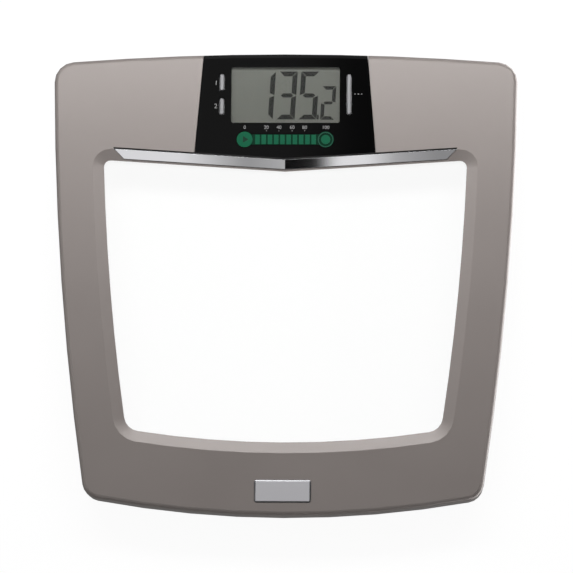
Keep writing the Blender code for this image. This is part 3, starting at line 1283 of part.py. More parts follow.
def battery_leads():
    """Two leads rise from the end contacts, cross the roof of the bay and hook up to the board."""
    end_z = BOARD_BOTTOM - SEAT_GAP
    plate_top = BATTERY_Z + CONTACT_SIDE / 2 + SEAT_GAP
    roof_z = BAY_ROOF + RUN_GAP + BATTERY_LEAD_RADIUS
    drop_x = BAY_RIGHT_X + RUN_GAP + BATTERY_LEAD_RADIUS
    end_x = -BOARD_HALF_WIDTH + BATTERY_LEAD_INSET
    low_z = end_z - 2 * BATTERY_LEAD_DROP
    ends = (("left", BATTERY_XS[0], LEAD_RUN_YS[0]), ("right", BATTERY_XS[-1], LEAD_RUN_YS[1]))
    for name, x, run_y in ends:
        route = [(x, BATTERY_GATE_Y, plate_top), (x, BATTERY_GATE_Y, roof_z)]
        route.append((x, run_y, roof_z))
        route += [(drop_x, run_y, roof_z), (drop_x, run_y, end_z)]
        route += [(drop_x, run_y, low_z), (end_x, run_y, low_z), (end_x, run_y, end_z)]
        lead = tube("battery_lead_" + name, [smooth_route(route, BATTERY_LEAD_BEND, 2)], BATTERY_LEAD_RADIUS, 2)
        paint(lead, (0.5, 0.05, 0.04), 0.5)


top_frame()
chrome_trim()
badge_plate()
display_fascia()
lcd_cover()
lcd_panel()
lcd_carrier()
zebra_strips()
main_board()
controller_chip()
housing_screws()
goal_light_guide()
keys()
glass_platform()
glass_gasket()
base_tray()
battery_door()
for number in range(BATTERY_COUNT):
    battery(number)
battery_contacts()
unit_switch()
feet_and_cells()
cell_leads()
battery_leads()
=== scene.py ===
# %% [markdown]
# # A bathroom scale with a glass platform
# The scale is a low moulded frame round a clear glass plate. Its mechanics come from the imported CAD
# model, which loads first and stays where it is. Everything after that is looks: finishes for the
# CAD pieces, and finer pieces where a finish alone can't show what the real thing has.

import math

import bmesh
import bpy
from mathutils import Matrix, Vector
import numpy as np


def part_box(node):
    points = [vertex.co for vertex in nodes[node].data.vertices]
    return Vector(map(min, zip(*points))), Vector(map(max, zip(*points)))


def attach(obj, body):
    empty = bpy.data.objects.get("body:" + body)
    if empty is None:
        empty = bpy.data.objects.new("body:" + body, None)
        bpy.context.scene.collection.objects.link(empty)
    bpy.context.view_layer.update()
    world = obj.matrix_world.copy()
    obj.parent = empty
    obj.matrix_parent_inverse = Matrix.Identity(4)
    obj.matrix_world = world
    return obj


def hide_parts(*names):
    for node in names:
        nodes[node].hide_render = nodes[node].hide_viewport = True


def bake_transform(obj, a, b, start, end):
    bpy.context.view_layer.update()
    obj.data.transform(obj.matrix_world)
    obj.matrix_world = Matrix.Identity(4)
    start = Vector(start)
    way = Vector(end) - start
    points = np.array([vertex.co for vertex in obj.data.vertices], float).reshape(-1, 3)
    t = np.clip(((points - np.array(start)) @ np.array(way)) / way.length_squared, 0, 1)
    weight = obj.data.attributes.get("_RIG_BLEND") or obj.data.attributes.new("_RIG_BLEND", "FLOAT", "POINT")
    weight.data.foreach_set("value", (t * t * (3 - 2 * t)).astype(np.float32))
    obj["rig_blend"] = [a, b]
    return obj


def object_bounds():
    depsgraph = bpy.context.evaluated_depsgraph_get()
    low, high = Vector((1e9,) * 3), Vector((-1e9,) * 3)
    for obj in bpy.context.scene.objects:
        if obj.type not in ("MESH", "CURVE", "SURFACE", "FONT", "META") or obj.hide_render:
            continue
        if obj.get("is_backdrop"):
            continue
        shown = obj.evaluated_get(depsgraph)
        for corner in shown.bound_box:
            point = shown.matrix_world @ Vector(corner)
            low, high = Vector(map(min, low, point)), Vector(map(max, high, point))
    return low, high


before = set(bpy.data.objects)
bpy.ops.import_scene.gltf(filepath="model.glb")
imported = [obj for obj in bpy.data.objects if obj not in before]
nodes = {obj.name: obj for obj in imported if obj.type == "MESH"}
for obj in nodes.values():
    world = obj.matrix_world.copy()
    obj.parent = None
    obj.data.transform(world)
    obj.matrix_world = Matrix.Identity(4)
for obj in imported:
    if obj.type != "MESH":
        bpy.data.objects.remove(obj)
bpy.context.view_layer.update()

# %% [markdown]
# ## The camera
# The photograph was taken from far above, a little in front of the scale and a little to its right.
# A long lens from 2.2 m away gives the same mild perspective. A look-at constraint could aim the
# camera, but it would leave the small roll to chance, so the three axes are written as a matrix.

# %% A helper that puts things in the scene
def add_object(name, data):
    """Shows a camera, a lamp, a mesh or a text in the scene as an object."""
    thing = bpy.data.objects.new(name, data)
    bpy.context.scene.collection.objects.link(thing)
    return thing


# %% Camera
PIXELS, MM_PER_PIXEL, SENSOR_WIDTH = 573, 0.6836, 36
DISTANCE, ROLL, FAR_END = 2.2, math.radians(0.15), 20

aim = Vector((0.0017, -0.0031, 0.028))
outward = Vector((0.031, -0.156, 1)).normalized()
across = Vector((1, 0, 0)) - outward * outward.x
across.normalize()
upward = outward.cross(across)
turned_across = across * math.cos(ROLL) + upward * math.sin(ROLL)
turned_upward = upward * math.cos(ROLL) - across * math.sin(ROLL)

camera_data = bpy.data.cameras.new("camera")
camera = add_object("camera", camera_data)
camera_data.sensor_width = SENSOR_WIDTH
camera_data.lens = SENSOR_WIDTH * DISTANCE / (PIXELS * MM_PER_PIXEL / 1000)
camera_data.clip_end = FAR_END
axes = Matrix((turned_across, turned_upward, outward)).transposed().to_4x4()
camera.matrix_world = Matrix.Translation(aim + outward * DISTANCE) @ axes
bpy.context.scene.camera = camera
bpy.context.scene.view_settings.view_transform = "Standard"
print("lens in mm:", round(camera_data.lens, 1))

# %% [markdown]
# ## The studio
# The scale stands in even light from all round, with a long narrow soft box behind it and a faint
# one at each side. The box behind gives the paint its slow fall from light at the back to darker at
# the front, and lights the bevel at the front of the window. Shiny pieces also need something to
# reflect. White cards could be modelled, but they would stand in the way of other views, so the
# world holds them and only shiny finishes see them: a row of cards in front for the two halves of
# the chrome trim, a darker ceiling on the right, a pale wall behind and a bright wall low on the
# right, which draws the light strip along the right edge of the frame.

# %% Node helpers
def link(tree, source, target):
    tree.links.new(source, target)


def math_node(tree, operation, *values):
    """A Math node; each value is a number or another node's socket."""
    node = tree.nodes.new("ShaderNodeMath")
    node.operation = operation
    for socket, value in zip(node.inputs, values):
        if isinstance(value, (int, float)):
            socket.default_value = value
        else:
            link(tree, value, socket)
    return node.outputs[0]


def product(tree, first, *others):
    """All the values multiplied."""
    for other in others:
        first = math_node(tree, "MULTIPLY", first, other)
    return first


def largest(tree, first, *others):
    """The largest of the values."""
    for other in others:
        first = math_node(tree, "MAXIMUM", first, other)
    return first


def ramp(tree, value, low, high):
    """0 below low, 1 above high, straight between them."""
    node = tree.nodes.new("ShaderNodeMapRange")
    node.inputs["From Min"].default_value = low
    node.inputs["From Max"].default_value = high
    link(tree, value, node.inputs["Value"])
    return node.outputs["Result"]


def blend_values(tree, share, first, second):
    """first where share is 0, second where it is 1."""
    node = tree.nodes.new("ShaderNodeMix")
    for name, value in (("Factor", share), ("A", first), ("B", second)):
        link(tree, value, node.inputs[name])
    return node.outputs["Result"]


# %% World
world = bpy.data.worlds.new("studio")
bpy.context.scene.world = world
world.use_nodes = True
sky = world.node_tree
background = sky.nodes["Background"]
direction = sky.nodes.new("ShaderNodeTexCoord")
parts = sky.nodes.new("ShaderNodeSeparateXYZ")
link(sky, direction.outputs["Generated"], parts.inputs[0])
east, north, height = parts.outputs["X"], parts.outputs["Y"], parts.outputs["Z"]
path = sky.nodes.new("ShaderNodeLightPath")
print("world:", world.name)

# %% Cards in the room
CARD_FROM, CARD_TO = -0.16, 0.08
CARDS = (  # place from west to east, brightness there
    (-0.103, 0.77),
    (-0.083, 0.31),
    (-0.066, 0.50),
    (-0.056, 0.005),
    (0.0190, 0.005),
    (0.0250, 0.82),
    (0.0340, 0.80),
    (0.0430, 0.40),
    (0.0560, 0.27),
)
cards = sky.nodes.new("ShaderNodeValToRGB")
link(sky, ramp(sky, east, CARD_FROM, CARD_TO), cards.inputs["Fac"])
stops = cards.color_ramp.elements
stops.remove(stops[0])
for number, (where, level) in enumerate(CARDS):
    position = (where - CARD_FROM) / (CARD_TO - CARD_FROM)
    stop = stops.new(position) if number else stops[0]
    stop.position = position
    stop.color = (level, level, level, 1)
print("cards:", len(CARDS))

# %% Ceiling and walls for reflections
CEILING, DARK_SIDE, BACK_WALL, SIDE_WALL = 0.20, -0.16, 0.25, 2.0
DARK_FROM, BACK_FROM, CARDS_HIGH, CARDS_IN_FRONT = (
    (-0.028, -0.010),
    (0.25, 0.45),
    (0.76, 0.84),
    (-0.24, -0.36),
)
SIDE_FROM, SIDE_LOW, SIDE_STRAIGHT = (0.50, 0.65), (0.42, 0.28), (0.35, 0.20)
ceiling = math_node(sky, "MULTIPLY_ADD", ramp(sky, east, *DARK_FROM), DARK_SIDE, CEILING)
back_wall = product(sky, ramp(sky, north, *BACK_FROM), BACK_WALL)
ceiling = math_node(sky, "ADD", ceiling, back_wall)
front = product(sky, cards.outputs["Color"], ramp(sky, height, *CARDS_HIGH))
room = blend_values(sky, ramp(sky, north, *CARDS_IN_FRONT), ceiling, front)
straight_right = ramp(sky, math_node(sky, "ABSOLUTE", north), *SIDE_STRAIGHT)
low_right = product(sky, ramp(sky, east, *SIDE_FROM), ramp(sky, height, *SIDE_LOW))
room = largest(sky, room, product(sky, low_right, straight_right, SIDE_WALL))
print("brightest wall:", SIDE_WALL)

# %% Even light
EVEN_LIGHT, LIGHT_FROM_BELOW, BELOW = 0.31, 0.35, (-0.05, -0.15)
glossy = path.outputs["Is Glossy Ray"]
even = math_node(sky, "MULTIPLY_ADD", ramp(sky, height, *BELOW), LIGHT_FROM_BELOW, EVEN_LIGHT)
even = product(sky, math_node(sky, "SUBTRACT", 1.0, glossy), even)
lit = math_node(sky, "ADD", product(sky, room, glossy), even)
seen = largest(sky, lit, path.outputs["Is Camera Ray"], path.outputs["Is Transmission Ray"])
link(sky, seen, background.inputs["Strength"])
background.inputs["Color"].default_value = (1, 1, 1, 1)
print("world nodes:", len(sky.nodes))

# %% Soft boxes
SOFT_BOXES = (  # name, place, width and height, power in watts
    ("back_soft_box", (0.0, 0.34, 0.45), (1.0, 0.12), 2.45),
    ("right_soft_box", (1.9, -0.2, 1.2), (0.9, 1.6), 1),
    ("left_soft_box", (-1.9, -0.3, 1.4), (0.9, 1.6), 1),
)
for name, where, size, power in SOFT_BOXES:
    lamp_data = bpy.data.lights.new(name, "AREA")
    lamp_data.shape = "RECTANGLE"
    lamp_data.size, lamp_data.size_y = size
    lamp_data.energy = power
    lamp = add_object(name, lamp_data)
    lamp.location = where
    towards_scale = Vector((0, 0, 0)) - Vector(where)
    lamp.rotation_euler = towards_scale.to_track_quat("-Z", "Y").to_euler()
print("soft boxes:", len(SOFT_BOXES))

# %% [markdown]
# ## The floor
# The floor is white in the picture but still holds a faint shadow. A white floor lit to white would
# need far more light than the scale can take. So this one adds a dull matt surface, which takes the
# shadow, to a glow of its own that only the camera, mirrors and glass see. In shiny sides it shows
# dark, but for a bright card on the right of the scale. From below it is clear, so the underside of
# the scale can be looked at. Scattered light passes it both ways, which stands in for the light that
# a white floor throws back up.

# %% Floor plate
FLOOR_REACH = 4.0
floor_mesh = bpy.data.meshes.new("floor")
corners = [(x * FLOOR_REACH, y * FLOOR_REACH, 0) for x, y in ((-1, -1), (1, -1), (1, 1), (-1, 1))]
floor_mesh.from_pydata(corners, [], [(0, 1, 2, 3)])
floor = add_object("floor", floor_mesh)
floor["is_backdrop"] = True
print("floor:", 2 * FLOOR_REACH, "m square")

# %% Light that the floor shows
FLOOR_SEEN, FLOOR_THROUGH_GLASS, FLOOR_MIRRORED = 0.93, 0.945, 0.12
CARD_ON_FLOOR, CARD_EDGE = 3.5, (0.15, 0.19)
floor_finish = bpy.data.materials.new("floor")
floor_finish.use_nodes = True
tree = floor_finish.node_tree
tree.nodes.clear()
rays = tree.nodes.new("ShaderNodeLightPath")
through = product(tree, rays.outputs["Is Transmission Ray"], FLOOR_THROUGH_GLASS)
direct = product(tree, rays.outputs["Is Camera Ray"], FLOOR_SEEN)
on_floor = tree.nodes.new("ShaderNodeTexCoord")
along = tree.nodes.new("ShaderNodeSeparateXYZ")
link(tree, on_floor.outputs["Object"], along.inputs[0])
card = ramp(tree, along.outputs["X"], *CARD_EDGE)
card = math_node(tree, "MULTIPLY_ADD", card, CARD_ON_FLOOR, FLOOR_MIRRORED)
mirrored = product(tree, rays.outputs["Is Glossy Ray"], card)
glow = tree.nodes.new("ShaderNodeEmission")
link(tree, largest(tree, through, direct, mirrored), glow.inputs["Strength"])
print("floor as the camera sees it:", FLOOR_SEEN)

# %% Floor surface
MATT_GREY = 0.12
matt = tree.nodes.new("ShaderNodeBsdfDiffuse")
matt.inputs["Color"].default_value = (MATT_GREY, MATT_GREY, MATT_GREY, 1)
both = tree.nodes.new("ShaderNodeAddShader")
link(tree, matt.outputs[0], both.inputs[0])
link(tree, glow.outputs[0], both.inputs[1])
side = tree.nodes.new("ShaderNodeNewGeometry")
clear = largest(tree, side.outputs["Backfacing"], rays.outputs["Is Diffuse Ray"])
either_side = tree.nodes.new("ShaderNodeMixShader")
link(tree, clear, either_side.inputs[0])
link(tree, both.outputs[0], either_side.inputs[1])
link(tree, tree.nodes.new("ShaderNodeBsdfTransparent").outputs[0], either_side.inputs[2])
surface = tree.nodes.new("ShaderNodeOutputMaterial")
link(tree, either_side.outputs[0], surface.inputs["Surface"])
floor_mesh.materials.append(floor_finish)
print("floor nodes:", len(tree.nodes))

# %% [markdown]
# ## A helper for moulded, painted and metal finishes
# Real surfaces are never one flat colour, and an image of each would be a lot to keep. This helper
# gives each finish three things at the scale of the real one: a colour that drifts between two close
# values, a roughness that drifts with it, and a fine bump. They are driven by the object's own
# coordinates, so they stay put as it moves.

# %% Texture helpers
def noise(tree, vector, scale, detail):
    """Soft patches between 0 and 1; a larger scale makes them finer."""
    node = tree.nodes.new("ShaderNodeTexNoise")
    node.inputs["Scale"].default_value = scale
    node.inputs["Detail"].default_value = detail
    link(tree, vector, node.inputs["Vector"])
    return node.outputs["Fac"]


def between(tree, share, low, high):
    """low where share is 0, high where it is 1, straight between them."""
    node = tree.nodes.new("ShaderNodeMapRange")
    node.inputs["To Min"].default_value = low
    node.inputs["To Max"].default_value = high
    link(tree, share, node.inputs["Value"])
    return node.outputs["Result"]


def blend_colours(tree, share, first, second):
    """Like blend_values, for colours: each is three numbers or another node's socket."""
    node = tree.nodes.new("ShaderNodeMix")
    node.data_type = "RGBA"
    for name, colour in (("A", first), ("B", second)):
        if isinstance(colour, tuple):
            node.inputs[name].default_value = (*colour, 1)
        else:
            link(tree, colour, node.inputs[name])
    link(tree, share, node.inputs["Factor"])
    return node.outputs["Result"]


# %% Finish helper
CLOUD_DETAIL, GRAIN_DETAIL, BUMP_HEIGHT = 6, 3, 0.0002


def finish(
    name,
    dark,
    light,
    roughness,
    metallic=0.0,
    grain=1500,
    bump=0.02,
    drift=14,
    stretch=(1, 1, 1),
    spread=0.06,
    coat=0.0,
    coat_roughness=0.06,
    specular=0.5,
):
    """A Principled material: colour and roughness drift by noise, with a fine grain as bump."""
    material = bpy.data.materials.new(name)
    material.use_nodes = True
    tree = material.node_tree
    shader = tree.nodes["Principled BSDF"]
    shader.inputs["Metallic"].default_value = metallic
    shader.inputs["Specular IOR Level"].default_value = specular
    shader.inputs["Coat Weight"].default_value = coat
    shader.inputs["Coat Roughness"].default_value = coat_roughness

    place = tree.nodes.new("ShaderNodeTexCoord")
    scaled = tree.nodes.new("ShaderNodeMapping")
    scaled.inputs["Scale"].default_value = stretch
    link(tree, place.outputs["Object"], scaled.inputs["Vector"])

    clouds = noise(tree, scaled.outputs[0], drift, CLOUD_DETAIL)
    rough = between(tree, clouds, roughness - spread, roughness + spread)
    link(tree, blend_colours(tree, clouds, dark, light), shader.inputs["Base Color"])
    link(tree, rough, shader.inputs["Roughness"])

    relief = tree.nodes.new("ShaderNodeBump")
    relief.inputs["Strength"].default_value = bump
    relief.inputs["Distance"].default_value = BUMP_HEIGHT
    link(tree, noise(tree, scaled.outputs[0], grain, GRAIN_DETAIL), relief.inputs["Height"])
    link(tree, relief.outputs["Normal"], shader.inputs["Normal"])
    return material


def dress(material, *names):
    """Gives CAD nodes a finish through their material slots."""
    for name in names:
        slots = nodes[name].data.materials
        slots.clear()
        slots.append(material)
    print(material.name, "on", len(names), "nodes")


# %% [markdown]
# ## Paint on the frame
# The frame is moulded plastic with a metallic paint: warm grey, with flakes too small to tell apart
# that still break up the light. Flakes could be drawn one by one as bright dots, but at this
# distance they would only be noise. A part-metal shader with middling roughness and a soft clear
# coat gives the slow fade from back to front, and a very fine bump breaks up the light.

# %% Frame paint
paint = finish(
    "frame_paint",
    (0.300, 0.262, 0.246),
    (0.345, 0.303, 0.286),
    0.47,
    metallic=0.28,
    bump=0.05,
    coat=1.0,
    coat_roughness=0.33,
)
print("paint:", paint.name)

# %% [markdown]
# ## Soft corners on the frame
# The real frame has round corners, and the CAD model draws each as a few flat strips. Smoothing the
# whole frame would bend the light on its flat faces too. So this copy has the same shape, but only
# neighbouring strips are shaded as one curve: edges stay crisp where a level face meets a bevel or
# where two faces meet steeply, and weighting by area keeps the large faces flat in the shading.

# %% A helper that copies a CAD shape
def copied_shape(name, weld=None):
    """A CAD node's shape to make a finer piece from; weld joins corners that close together."""
    shape = bmesh.new()
    shape.from_mesh(nodes[name].data)
    shape.transform(nodes[name].matrix_world)
    if weld:
        bmesh.ops.remove_doubles(shape, verts=shape.verts, dist=weld)
    return shape


# %% Soft frame
FRAME_WELD, SOFT_BELOW, CRISP_BY_LEVEL_FACE = 0.000002, math.radians(34), math.radians(8)
LEVEL = 0.998


def is_crisp(edge):
    """Tells whether an edge of the frame should stay a line."""
    if len(edge.link_faces) != 2:
        return True
    angle = edge.calc_face_angle(0)
    level_sides = [abs(face.normal.z) > LEVEL for face in edge.link_faces]
    return angle > SOFT_BELOW or (angle > CRISP_BY_LEVEL_FACE and any(level_sides))


shape = copied_shape("top_frame", FRAME_WELD)
shape.normal_update()
shape.verts.index_update()
crisp_edges = [edge for edge in shape.edges if is_crisp(edge)]
crisp_pairs = {frozenset(corner.index for corner in edge.verts) for edge in crisp_edges}
mesh = bpy.data.meshes.new("soft_frame")
points = [tuple(corner.co) for corner in shape.verts]
mesh.from_pydata(points, [], [[corner.index for corner in face.verts] for face in shape.faces])
shape.free()
for face in mesh.polygons:
    face.use_smooth = True
for edge in mesh.edges:
    edge.use_edge_sharp = frozenset(edge.vertices) in crisp_pairs
mesh.materials.append(paint)
soft_frame = add_object("soft_frame", mesh)
soft_frame.modifiers.new("flat_faces", "WEIGHTED_NORMAL").keep_sharp = True
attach(soft_frame, "housing")
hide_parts("top_frame")
print("crisp edges:", len(crisp_pairs), "of", len(mesh.edges))

# %% [markdown]
# ## Black gloss, chrome and badge metal
# The fascia is black polished plastic under a clear skin, the trim is chromed, and the badge is a
# plain satin metal plate with a faint brushing along it. Gloss lives in low roughness, so the first
# two need only the faintest of grain; the brushing is grain that is stretched one way.

# %% Gloss, chrome and badge finishes
black_gloss = finish(
    "fascia_gloss",
    (0.0007, 0.0007, 0.0008),
    (0.0013, 0.0013, 0.0014),
    0.05,
    bump=0.002,
    spread=0.02,
)
chrome = finish(
    "trim_chrome",
    (0.84, 0.84, 0.86),
    (0.90, 0.90, 0.92),
    0.025,
    metallic=1.0,
    bump=0.002,
    spread=0.01,
)
badge_metal = finish(
    "badge_metal",
    (0.74, 0.73, 0.76),
    (0.84, 0.83, 0.86),
    0.36,
    metallic=0.35,
    grain=220,
    bump=0.06,
    stretch=(0.06, 1, 1),
)
dress(black_gloss, "display_fascia")

# %% [markdown]
# ## The chrome trim
# The trim is two straight bars that meet in a sharp fold at the middle, each with a fine rounded
# edge that catches light. The CAD bar is drawn as one smooth run, so a mirror finish on it would
# blur the fold. This piece has the same corners, with its two long faces kept flat and its edges
# rounded. A thin black strip along its back edge is painted shade for the shadowed gap there.

# %% Helpers for new pieces
def new_piece(name, points, faces, material, body):
    """A mesh piece from corners and faces that rides on a body."""
    mesh = bpy.data.meshes.new(name)
    mesh.from_pydata(points, [], faces)
    mesh.materials.append(material)
    piece = add_object(name, mesh)
    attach(piece, body)
    return piece


VALLEY_SLOPE = 0.0643


def folded_bar(name, section, material):
    """Two straight bars that meet in a sharp fold at the middle."""
    points = []
    for side in (-1, 0, 1):
        for y, half, z in section:
            points.append((side * half, y + VALLEY_SLOPE * half * abs(side), z))
    faces = [(0, 1, 2, 3), (11, 10, 9, 8)]
    for start in (0, 4):
        for here in range(4):
            after = (here + 1) % 4
            faces.append((start + here, start + 4 + here, start + 4 + after, start + after))
    bar = new_piece(name, points, faces, material, "housing")
    for edge in bar.data.edges:
        edge.use_edge_sharp = all(4 <= index < 8 for index in edge.vertices)
    print(name, "corners:", len(points))
    return bar


# %% Chrome trim
TRIM_SECTION = (  # y at the middle, half width, z, for the four long edges
    (0.0787866, 0.1111, 0.0253605),
    (0.0849994, 0.1178, 0.0274000),
    (0.0849994, 0.1178, 0.0285000),
    (0.0787866, 0.1111, 0.0264605),
)
ROUNDING, ROUNDING_STEPS, ROUND_ABOVE = 0.00012, 2, math.radians(30)
trim = folded_bar("trim_bar", TRIM_SECTION, chrome)
for face in trim.data.polygons:
    face.use_smooth = True
bevel = trim.modifiers.new("rounded_edges", "BEVEL")
bevel.width = ROUNDING
bevel.segments = ROUNDING_STEPS
bevel.limit_method = "ANGLE"
bevel.angle_limit = ROUND_ABOVE
bevel.harden_normals = True
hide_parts("chrome_trim")

# %% Painted shade behind the trim
# A thin black strip in the gap behind the trim: painted shade for the shadow that falls there.
SHADE_OUT, SHADE_UNDER, SHADE_LOW, SHADE_HIGH = 0.0013, 0.0005, 0.0279, 0.02805
gap_shade_black = finish(
    "gap_shade_black", (0.004, 0.004, 0.004), (0.010, 0.010, 0.010), 0.8, grain=600, bump=0.2
)
back_y, back_half = TRIM_SECTION[1][:2]
SHADE_SECTION = (
    (back_y - SHADE_UNDER, back_half, SHADE_LOW),
    (back_y + SHADE_OUT, back_half + SHADE_OUT / 2, SHADE_LOW),
    (back_y + SHADE_OUT, back_half + SHADE_OUT / 2, SHADE_HIGH),
    (back_y - SHADE_UNDER, back_half, SHADE_HIGH),
)
gap_shade = folded_bar("trim_gap_shade", SHADE_SECTION, gap_shade_black)

# %% [markdown]
# ## Badge with a cut rim
# The badge is a pressed plate whose edge is cut at an angle and polished, so its back edge catches
# the lamp and the others go dark. A bevel modifier would do it, but it couldn't give the cut a
# finish of its own as plainly as three rounded outlines do: the foot, the start of the cut, the top.

# %% Outline of the badge
RIM_WIDTH, RIM_DEPTH, BADGE_CORNER, CORNER_POINTS = 0.0009, 0.00035, 0.0013, 5
low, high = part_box("badge_plate")


def rounded_outline(inset, z):
    """The badge's outline, moved inwards by the inset, with rounded corners."""
    radius = BADGE_CORNER - inset
    centre_x, centre_y = (low.x + high.x) / 2, (low.y + high.y) / 2
    half_x, half_y = high.x - centre_x - BADGE_CORNER, high.y - centre_y - BADGE_CORNER
    points = []
    for corner, (side_x, side_y) in enumerate(((1, 1), (-1, 1), (-1, -1), (1, -1))):
        for step in range(CORNER_POINTS):
            angle = (corner + step / (CORNER_POINTS - 1)) * math.pi / 2
            x = side_x * half_x + radius * math.cos(angle)
            y = side_y * half_y + radius * math.sin(angle)
            points.append((centre_x + x, centre_y + y, z))
    return points


rows = [
    rounded_outline(0, low.z),
    rounded_outline(0, high.z - RIM_DEPTH),
    rounded_outline(RIM_WIDTH, high.z),
]
count = len(rows[0])
print("points round the badge:", count)

# %% Badge
rim_polish = finish(
    "rim_polish", (0.25, 0.25, 0.26), (0.28, 0.28, 0.29), 0.30, metallic=1.0, bump=0.005
)
faces = [tuple(range(count - 1, -1, -1)), tuple(range(2 * count, 3 * count))]
for row in (0, count):
    for here in range(count):
        after = (here + 1) % count
        faces.append((row + here, row + after, row + count + after, row + count + here))
points = [point for row in rows for point in row]
badge = new_piece("badge", points, faces, badge_metal, "housing")
badge.data.materials.append(rim_polish)
for face in badge.data.polygons[2 + count :]:
    face.material_index = 1
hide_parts("badge_plate")
print("badge corners:", len(badge.data.vertices))

# %% [markdown]
# ## Keys
# The keys stand a little proud of the gloss skin. What shows of them is narrower than the moulded
# key, because the skin curls in over their sides. Curling the skin would need a new fascia, so each
# shown key is the moulded one made slimmer instead.

# %% A helper that makes a piece of a shape
def piece_of(name, shape, material):
    """Turns a finished shape into an object with one material."""
    mesh = bpy.data.meshes.new(name)
    shape.to_mesh(mesh)
    shape.free()
    mesh.materials.append(material)
    return add_object(mesh.name, mesh)


# %% Keys
KEY_SHARES = {"user_key_1": 0.86, "user_key_2": 0.86, "set_key": 0.80}
key_silver = finish("key_silver", (0.27, 0.27, 0.28), (0.33, 0.33, 0.34), 0.40, metallic=0.4)
for name, share in KEY_SHARES.items():
    low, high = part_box(name)
    middle = (low.x + high.x) / 2
    shape = copied_shape(name)
    for corner in shape.verts:
        corner.co.x = middle + (corner.co.x - middle) * share
    cap = piece_of(name + "_cap", shape, key_silver)
    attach(cap, name)
    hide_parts(name)
    print(cap.name, "width mm:", round((high.x - low.x) * share * 1000, 2))

# %% [markdown]
# ## Glass
# The platform is clear toughened glass, with the pale green that its edge always shows. A plain
# glass shader would throw a full shadow on the floor under it, so for shadow and diffuse rays the
# glass turns into a transparent sheet that lets most of the light through. The cover of the display
# is made the same way.

# %% Clear finish helper
SMEAR_SCALE, SMEAR_DETAIL, SMOOTHER, ROUGHER = 24, 5, 0.01, 0.02


def clear_finish(name, tint, roughness, ior, shadow_tint):
    """Clear glass or plastic that lets light through to what is under it."""
    material = bpy.data.materials.new(name)
    material.use_nodes = True
    tree = material.node_tree
    shader = tree.nodes["Principled BSDF"]
    shader.inputs["Base Color"].default_value = (*tint, 1)
    shader.inputs["Transmission Weight"].default_value = 1.0
    shader.inputs["IOR"].default_value = ior
    place = tree.nodes.new("ShaderNodeTexCoord")
    smears = noise(tree, place.outputs["Object"], SMEAR_SCALE, SMEAR_DETAIL)
    rough = between(tree, smears, max(roughness - SMOOTHER, 0), roughness + ROUGHER)
    link(tree, rough, shader.inputs["Roughness"])

    rays = tree.nodes.new("ShaderNodeLightPath")
    sheet = tree.nodes.new("ShaderNodeBsdfTransparent")
    sheet.inputs["Color"].default_value = (*shadow_tint, 1)
    choice = tree.nodes.new("ShaderNodeMixShader")
    either = largest(tree, rays.outputs["Is Shadow Ray"], rays.outputs["Is Diffuse Ray"])
    link(tree, either, choice.inputs[0])
    link(tree, shader.outputs[0], choice.inputs[1])
    link(tree, sheet.outputs[0], choice.inputs[2])
    link(tree, choice.outputs[0], tree.nodes["Material Output"].inputs["Surface"])
    return material


# %% Glass and display cover
glass = clear_finish("platform_glass", (0.997, 0.999, 0.998), 0.01, 1.45, (0.96, 0.965, 0.96))
lcd_window = clear_finish("lcd_window", (0.97, 0.98, 0.97), 0.02, 1.25, (0.9, 0.9, 0.9))
dress(glass, "glass_platform")
dress(lcd_window, "lcd_cover")

# %% Display and light guide finishes
lcd_grey = finish(
    "lcd_grey",
    (0.100, 0.104, 0.085),
    (0.110, 0.114, 0.095),
    0.35,
    grain=3000,
    bump=0.01,
    drift=30,
)
guide_green = finish(
    "guide_green", (0.001, 0.030, 0.015), (0.002, 0.040, 0.020), 0.2, specular=0.3
)
dress(lcd_grey, "lcd_panel")
dress(guide_green, "goal_light_guide")

# %% [markdown]
# ## Everything below and inside
# Grey moulded plastic for the tray and the door, rubber for the feet and the gasket, steel for the
# load cells, screws and contacts, and a lacquered board. They show from below, through the battery
# bay and round the edge of the glass, so each has its own grain and not one grey for all.

# %% Plastics and rubber
tray_grey = finish(
    "tray_plastic", (0.30, 0.30, 0.30), (0.35, 0.35, 0.345), 0.55, grain=900, bump=0.12, drift=9
)
cup_grey = finish(
    "foot_plastic", (0.25, 0.25, 0.25), (0.30, 0.30, 0.30), 0.5, grain=900, bump=0.1
)
pad_black = finish(
    "pad_rubber", (0.018, 0.018, 0.018), (0.035, 0.034, 0.033), 0.75, grain=600, bump=0.25
)
gasket_pale = finish(
    "gasket_rubber", (0.55, 0.55, 0.55), (0.65, 0.65, 0.64), 0.7, grain=600, bump=0.2
)
switch_black = finish(
    "switch_black", (0.015, 0.015, 0.015), (0.03, 0.03, 0.03), 0.45, bump=0.08
)
slider_grey = finish("slider_grey", (0.50, 0.50, 0.50), (0.58, 0.58, 0.57), 0.45, bump=0.08)
carrier_white = finish("carrier_white", (0.66, 0.66, 0.63), (0.74, 0.74, 0.71), 0.5, bump=0.08)
zebra_rubber = finish(
    "zebra_rubber", (0.01, 0.01, 0.01), (0.12, 0.12, 0.12), 0.6, stretch=(40, 1, 1)
)
board_green = finish(
    "board_green", (0.01, 0.10, 0.04), (0.02, 0.15, 0.06), 0.35, drift=60, coat=0.3
)
white_lead = finish("lead_white", (0.62, 0.62, 0.60), (0.70, 0.70, 0.68), 0.45, bump=0.1)
red_lead = finish("lead_red", (0.35, 0.02, 0.015), (0.45, 0.03, 0.02), 0.45, bump=0.1)
print("finishes so far:", len(bpy.data.materials))

